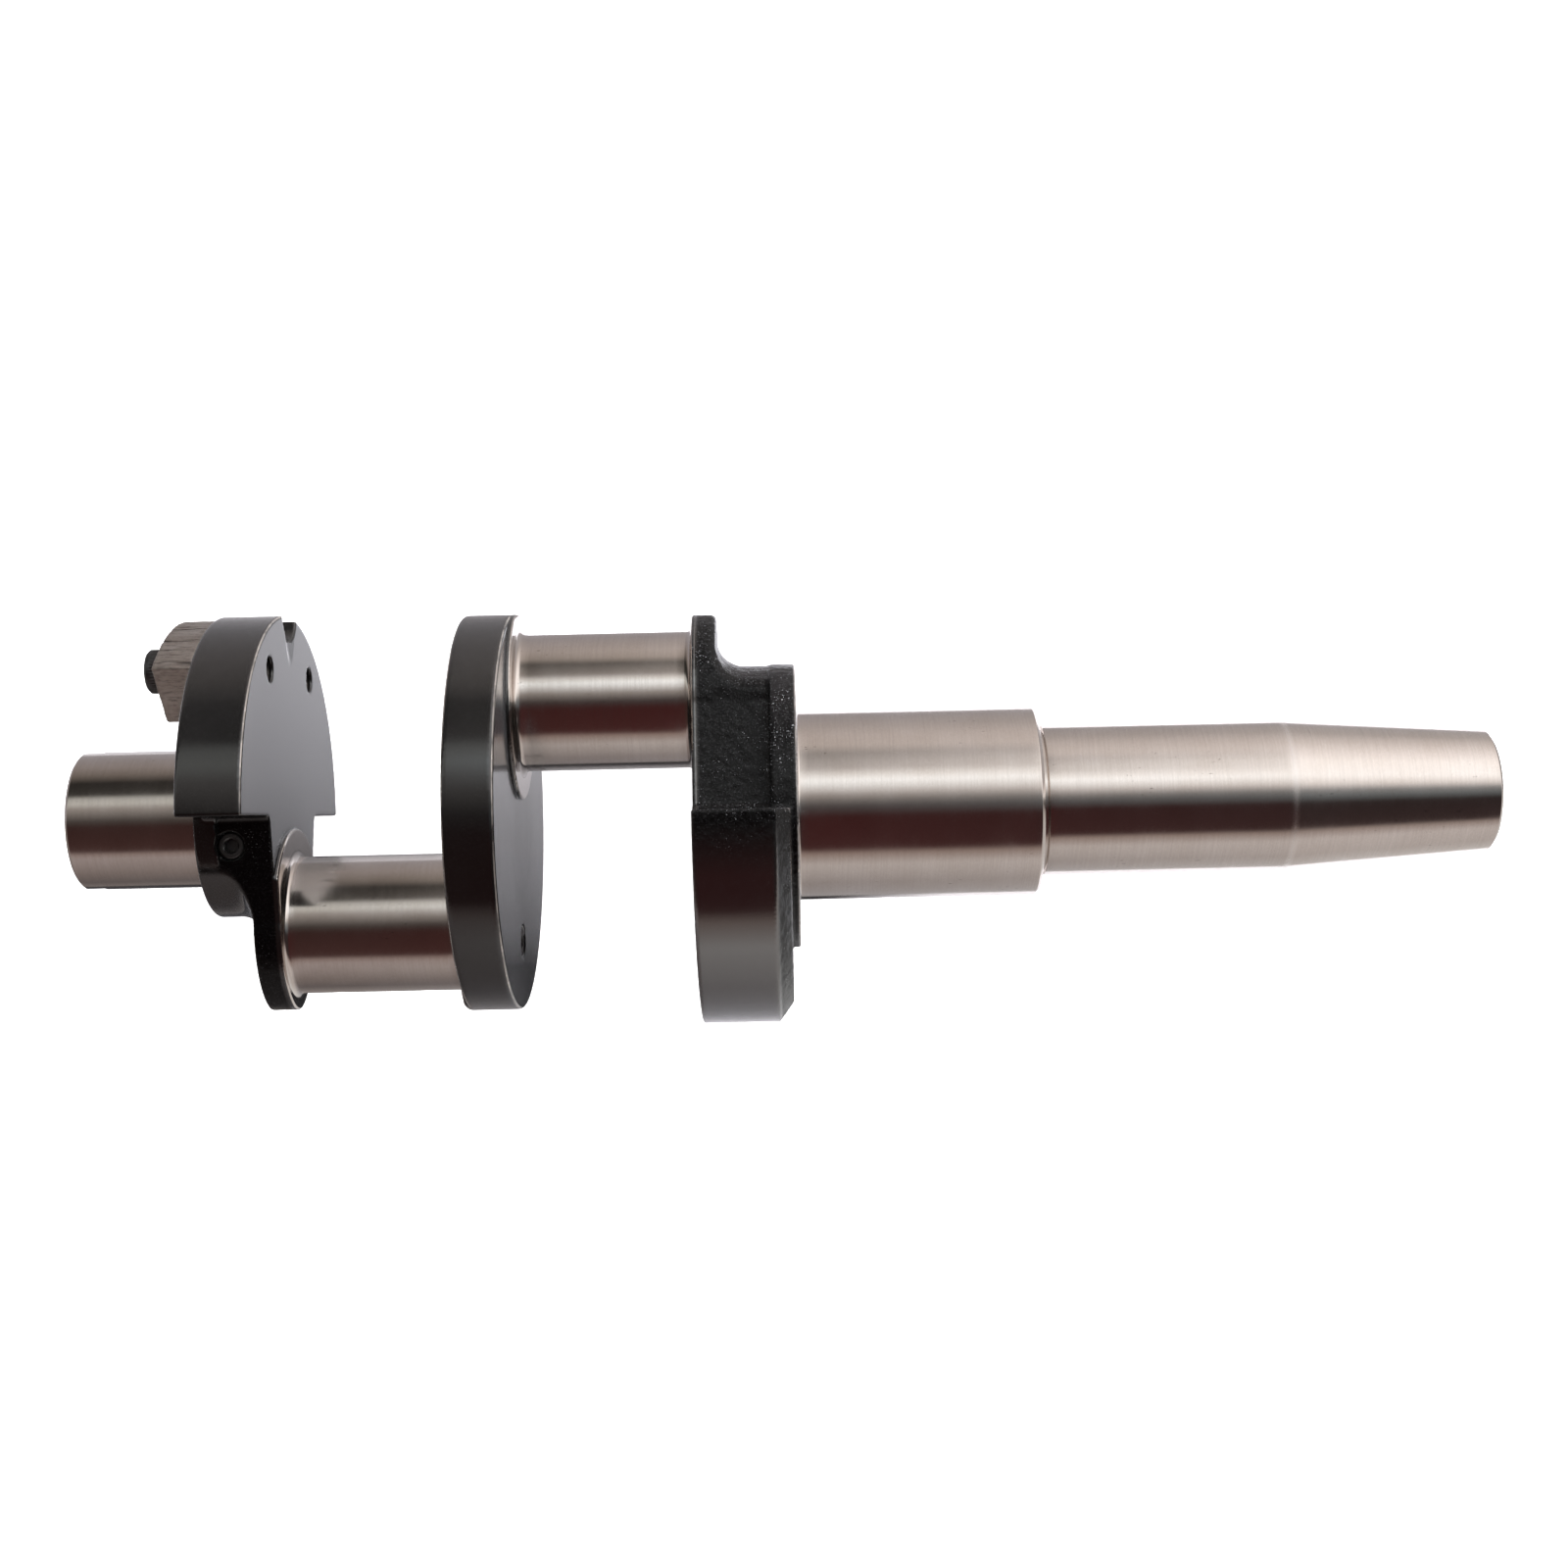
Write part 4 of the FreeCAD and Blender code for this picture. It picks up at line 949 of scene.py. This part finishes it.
def block_solid(x, y, z):
    from_axis = np.hypot(y, z)
    inner_radius = block_low[1] / math.cos(BLOCK_HALF_ANGLE)
    ends = np.abs(z) * math.cos(BLOCK_HALF_ANGLE) - y * math.sin(BLOCK_HALF_ANGLE)
    block = common(from_axis - block_high[1], inner_radius - from_axis, BLOCK_EDGE)
    block = common(block, ends, BLOCK_END_EDGE)
    block = common(block, block_low[0] - x, BLOCK_EDGE)
    return common(block, x - block_high[0], BLOCK_SEAT_EDGE)


def saw_marks(points):
    """How deep the saw went at each point of the block, from 0 to 1; its cuts run along X."""
    depths = []
    for x, y, z in points:
        around = math.atan2(z, y) * block_high[1]
        bend = 0.9 * noise.noise(Vector((x * 0.15, around * 0.05, 3.0)))
        depths.append(noise.fractal(Vector((x * 0.045, around * 0.9 + bend, y * 0.2)), 0.7, 2.2, 3))
    return np.clip((np.array(depths) - 0.28) / 0.35, 0, 1)


def make_block():
    """The bolted counterweight: rough sawn, with a counterbore for each screw head."""
    block = solid_object("sawn_counterweight", block_solid, (block_low[0], block_low[1] - 1, block_low[2]),
                         block_high, BLOCK_STEP, SAWN)
    points = vertex_array(block) / MM
    outer = near(np.hypot(points[:, 1], points[:, 2]) - block_high[1], 1.0)
    furrow = saw_marks(points)
    paint(block, "furrow", furrow * (0.4 + 0.6 * outer))
    roughen(block, 1.0, 2.5, 0.10)
    press_in(block, furrow * FURROW_DEPTH)
    seat = [(-1, 0), (-1, HEAD_SEAT_RADIUS), (HEAD_SEAT_DEPTH, HEAD_SEAT_RADIUS),
            (HEAD_SEAT_DEPTH, SCREW_HOLE_RADIUS), (12, SCREW_HOLE_RADIUS), (12, 0)]
    for side in (1, -1):
        cut(block, turned_cutter((block_low[0], SCREW_Y, side * SCREW_Z), (1, 0, 0), seat))
    return block


def knurl(thing, head):
    """Press fine grooves along the side of a screw head that starts at x = head."""
    points = vertex_array(thing) / MM
    radius = np.hypot(points[:, 1], points[:, 2])
    angle = np.arctan2(points[:, 1], points[:, 2])
    along = points[:, 0] - head
    ease, top, bottom = 0.4, 1.0, HEAD_HEIGHT - 0.4
    share = (radius > HEAD_RADIUS - 0.1) * np.clip((along - top) / ease, 0, 1)
    share = share * np.clip((bottom - along) / ease, 0, 1)
    depth = share * KNURL_DEPTH * (0.5 - 0.5 * np.cos(angle * KNURLS))
    points[:, 1] -= np.sin(angle) * depth
    points[:, 2] -= np.cos(angle) * depth
    thing.data.vertices.foreach_set("co", (points * MM).astype(np.float32).ravel())
    thing.data.update()


def make_screw(name, node):
    """Socket head cap screw with a knurled head; its lower threads sit in the half disc."""
    low, high = box(node)
    y, z = (low[1] + high[1]) / 2, (low[2] + high[2]) / 2
    head, length = low[0], high[0] - low[0]
    profile = rounded([
        (0, 0), (0, HEAD_RADIUS - HEAD_CHAMFER, 0.3), (HEAD_CHAMFER, HEAD_RADIUS, 0.3),
        (HEAD_HEIGHT, HEAD_RADIUS, 0.3), (HEAD_HEIGHT, SCREW_RADIUS, 0.4),
        (length - 0.6, SCREW_RADIUS), (length, SCREW_RADIUS - 0.5), (length, 0),
    ], 4)
    screw = lathe(name, [(p[0] + head, p[1]) for p in profile], BLACK, steps=144, longest=0.5)
    knurl(screw, head)
    screw.data.transform(Matrix.Translation(Vector((0, y, z)) * MM))
    mouth = [(-1, 0), (-1, 3.7), (0, 2.9), (0.5, 2.4), (0.5, 0)]
    cut_socket(screw, (head, y, z), (1, 0, 0), HEAD_SOCKET, HEAD_SOCKET_DEPTH, mouth)
    return screw


def make_plug(name, node, facing, material):
    """Headless gallery plug: chamfered, with a hexagon socket, flush in its seat."""
    low, high = box(node)
    middle = [(a + b) / 2 for a, b in zip(low, high)]
    length = max(abs((h - l) * f) for l, h, f in zip(low, high, facing))
    radius = max((h - l) / 2 for l, h, f in zip(low, high, facing) if not f)
    base = [m + f * length / 2 for m, f in zip(middle, facing)]
    inward = [-f for f in facing]
    profile = rounded([(0, 0), (0, radius - 0.45, 0.15), (0.4, radius, 0.15),
                       (length, radius), (length, 0)], 4)
    plug = lathe(name, profile, material, steps=96, longest=1000)
    aim(plug, base, inward)
    mouth = [(-1, 0), (-1, 2.6), (0, 1.9), (0.4, 1.45), (0.4, 0)]
    cut_socket(plug, base, inward, PLUG_SOCKET, PLUG_SOCKET_DEPTH, mouth)
    return plug


# ------------- put together


def place_pieces():
    """Make every piece, and return the collection of the black webs."""
    webs = make_webs()
    casting = webs + make_pins() + [make_pump_journal()] + make_drive_shaft()
    for z in (-SCREW_Z, SCREW_Z):
        side = "near" if z > 0 else "far"
        start = (X_PUMP_INNER - 0.3, SCREW_Y, z)
        casting.append(inner_thread("tapped_thread_" + side, start, (-1, 0, 0), 6, TAPPED_RADIUS,
                                    TAPPED_PITCH, PLUG))
    for piece in casting:
        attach(piece, "root")
        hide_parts("crank_casting")
    block = make_block()
    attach(block, "root")
    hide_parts("counterweight_block")
    for side in ("near", "far"):
        screw = make_screw("cap_screw_" + side, "counterweight_screw_" + side)
        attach(screw, "root")
        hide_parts("counterweight_screw_" + side)
    facings = {"hub_gallery_plug": (0, 0, 1), "pin_1_gallery_plug": (1, 0, 0),
               "pin_2_gallery_plug": (-1, 0, 0), "disc_rim_plug": (0, -1, 0)}
    for node, facing in facings.items():
        material = BLACK if node == "hub_gallery_plug" else PLUG
        plug = make_plug(node.replace("_plug", "_screw_plug"), node, facing, material)
        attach(plug, "root")
        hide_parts(node)
    coated = bpy.data.collections.new("coated")
    for web in webs:
        coated.objects.link(web)
    return coated


coated_webs = place_pieces()

# ------------- floor, light, camera


def level_sheet(name, low, high, level, material):
    """A flat rectangle at one level."""
    corners = [(low[0], low[1], level), (high[0], low[1], level), (high[0], high[1], level),
               (low[0], high[1], level)]
    sheet = new_object(name, corners, [(0, 1, 2, 3)], material)
    return sheet


def make_table():
    """A plain pale floor under the crank, and just above it a card that only reflections show, with the
    crank's shadow painted on it.
    """
    size, level = 6000.0, casting_low[2] - 0.1
    floor = level_sheet("floor", (-size, -size), (size, size), level, floor_material("pale_table"))
    floor.visible_glossy = False
    reach, past_end = 56.0, 40.0
    card = level_sheet("bounce_card", (X_PUMP_END - past_end, -reach), (X_END + past_end, reach),
                       level + 0.05, card_material("card"))
    card.visible_camera = False
    card.visible_diffuse = False
    card.visible_shadow = False
    table = bpy.data.collections.new("table")
    table.objects.link(floor)
    table.objects.link(card)
    return table


# What surrounds the crank: colours against the angle round its axis, in degrees from straight up. The side
# of crankpin 1 (below 0) has a dark warm wall, and the other side a window.
LEFT_BANDS = [
    (-150, (0.30, 0.27, 0.26)), (-125, (0.17, 0.15, 0.15)), (-100, (0.27, 0.23, 0.22)),
    (-66, (0.44, 0.38, 0.37)), (-58, (0.36, 0.28, 0.26)), (-52, (0.07, 0.035, 0.032)),
    (-10, (0.05, 0.025, 0.023)), (0, (0.08, 0.07, 0.065)), (20, (0.40, 0.37, 0.35)),
    (28, (0.72, 0.73, 0.69)), (37, (0.60, 0.61, 0.58)), (43, (0.05, 0.047, 0.043)),
    (66, (0.03, 0.028, 0.026)), (82, (0.23, 0.20, 0.18)), (100, (0.36, 0.32, 0.31)),
    (135, (0.42, 0.40, 0.42))]
MIDDLE_BANDS = [
    (-150, (0.35, 0.34, 0.36)), (-110, (0.34, 0.31, 0.31)), (-78, (0.62, 0.58, 0.56)),
    (-62, (0.36, 0.27, 0.24)), (-56, (0.08, 0.025, 0.025)), (-14, (0.066, 0.016, 0.016)),
    (-2, (0.06, 0.045, 0.045)), (12, (0.38, 0.35, 0.33)), (23, (1.15, 1.20, 1.22)),
    (29, (1.55, 1.65, 1.70)), (35, (1.10, 1.10, 1.08)), (44, (0.36, 0.33, 0.31)),
    (64, (0.14, 0.13, 0.12)), (76, (0.55, 0.49, 0.45)), (92, (0.62, 0.56, 0.53)),
    (135, (0.42, 0.39, 0.40))]
RIGHT_BANDS = [
    (-150, (0.80, 0.79, 0.78)), (-110, (0.64, 0.60, 0.58)), (-76, (0.73, 0.68, 0.66)),
    (-61, (0.44, 0.36, 0.33)), (-54, (0.05, 0.033, 0.033)), (-14, (0.035, 0.025, 0.025)),
    (-4, (0.17, 0.19, 0.20)), (5, (0.32, 0.33, 0.34)), (16, (1.20, 1.16, 1.14)),
    (28, (1.65, 1.65, 1.65)), (52, (1.62, 1.58, 1.56)), (68, (1.35, 1.28, 1.26)),
    (88, (1.00, 0.93, 0.90)), (112, (0.62, 0.58, 0.56)), (140, (0.52, 0.50, 0.51))]


def bands(n, turn, stops):
    """Colour at an angle that runs from 0 to 1 round the axis, with straight up at the middle."""
    node = n.add("ValToRGB")
    elements = node.color_ramp.elements
    while len(elements) < len(stops):
        elements.new(0.5)
    for element, (degrees, colour) in zip(elements, stops):
        element.position = degrees / 360 + 0.5
        element.color = (*colour, 1.0)
    n.link(turn, node.inputs[0])
    return node.outputs[0]


def make_world():
    """Soft studio surroundings, which change from the left bands to the right ones along the crank axis.
    The camera sees plain white instead."""
    world = bpy.data.worlds.new("studio")
    bpy.context.scene.world = world
    n = Nodes(world)
    x, y, z = n.split(n.add("TexCoord").outputs["Generated"])
    turn = n.plus(n.times(n.math("ARCTAN2", y, z), 0.5 / math.pi), 0.5)
    colour = bands(n, turn, LEFT_BANDS)
    for stops, start, end in ((MIDDLE_BANDS, -0.20, -0.07), (RIGHT_BANDS, -0.07, 0.34)):
        colour = n.mix(n.ramp(x, start, end), colour, bands(n, turn, stops))
    light = n.add("Background")
    n.link(colour, light.inputs["Color"])
    white = n.add("Background")
    white.inputs["Color"].default_value = (1, 1, 1, 1)
    shown = n.add("MixShader")
    n.link(n.add("LightPath").outputs["Is Camera Ray"], shown.inputs[0])
    n.link(light.outputs[0], shown.inputs[1])
    n.link(white.outputs[0], shown.inputs[2])
    n.link(shown.outputs[0], n.add("OutputWorld").inputs["Surface"])


def make_lamp(name, size, watts, place, lit):
    """A broad square lamp that faces the crank and lights only the collection given. Sizes and places of
    lamps are in metres."""
    data = bpy.data.lights.new(name, "AREA")
    data.shape = "SQUARE"
    data.size = size
    data.energy = watts
    lamp = bpy.data.objects.new(name, data)
    lamp.location = place
    lamp.rotation_euler = Vector(place).to_track_quat("Z", "Y").to_euler()
    lamp.visible_glossy = False
    lamp.visible_camera = False
    lamp.light_linking.receiver_collection = lit
    bpy.context.scene.collection.objects.link(lamp)


def make_lamps(table, coated):
    """One lamp overhead for the table, and one level with the crank at +Y for the black webs; the ground
    steel is lit by the studio around it."""
    make_lamp("overhead", size=4.0, watts=190.0, place=(0.0, 0.4, 2.4), lit=table)
    make_lamp("window", size=1.6, watts=240.0, place=(-0.1, 2.4, 0.1), lit=coated)


def make_camera():
    """Straight above the crank, about half a metre up, turned by a degree or so."""
    data = bpy.data.cameras.new("camera")
    data.sensor_width = 36.0
    data.lens = 47.72
    data.clip_start, data.clip_end = 0.01, 50.0
    camera = bpy.data.objects.new("camera", data)
    place = Vector((-30.58, -2.08, 488.24)) * MM
    roll, tilt, yaw = 0.0225, -0.0147, -0.0007
    to_camera = Matrix.Rotation(roll, 3, "Z") @ Matrix.Rotation(tilt, 3, "X") @ Matrix.Rotation(yaw, 3, "Y")
    camera.matrix_world = Matrix.Translation(place) @ to_camera.transposed().to_4x4()
    bpy.context.scene.collection.objects.link(camera)
    bpy.context.scene.camera = camera


make_world()
make_lamps(make_table(), coated_webs)
make_camera()
bpy.context.scene.view_settings.view_transform = "Standard"
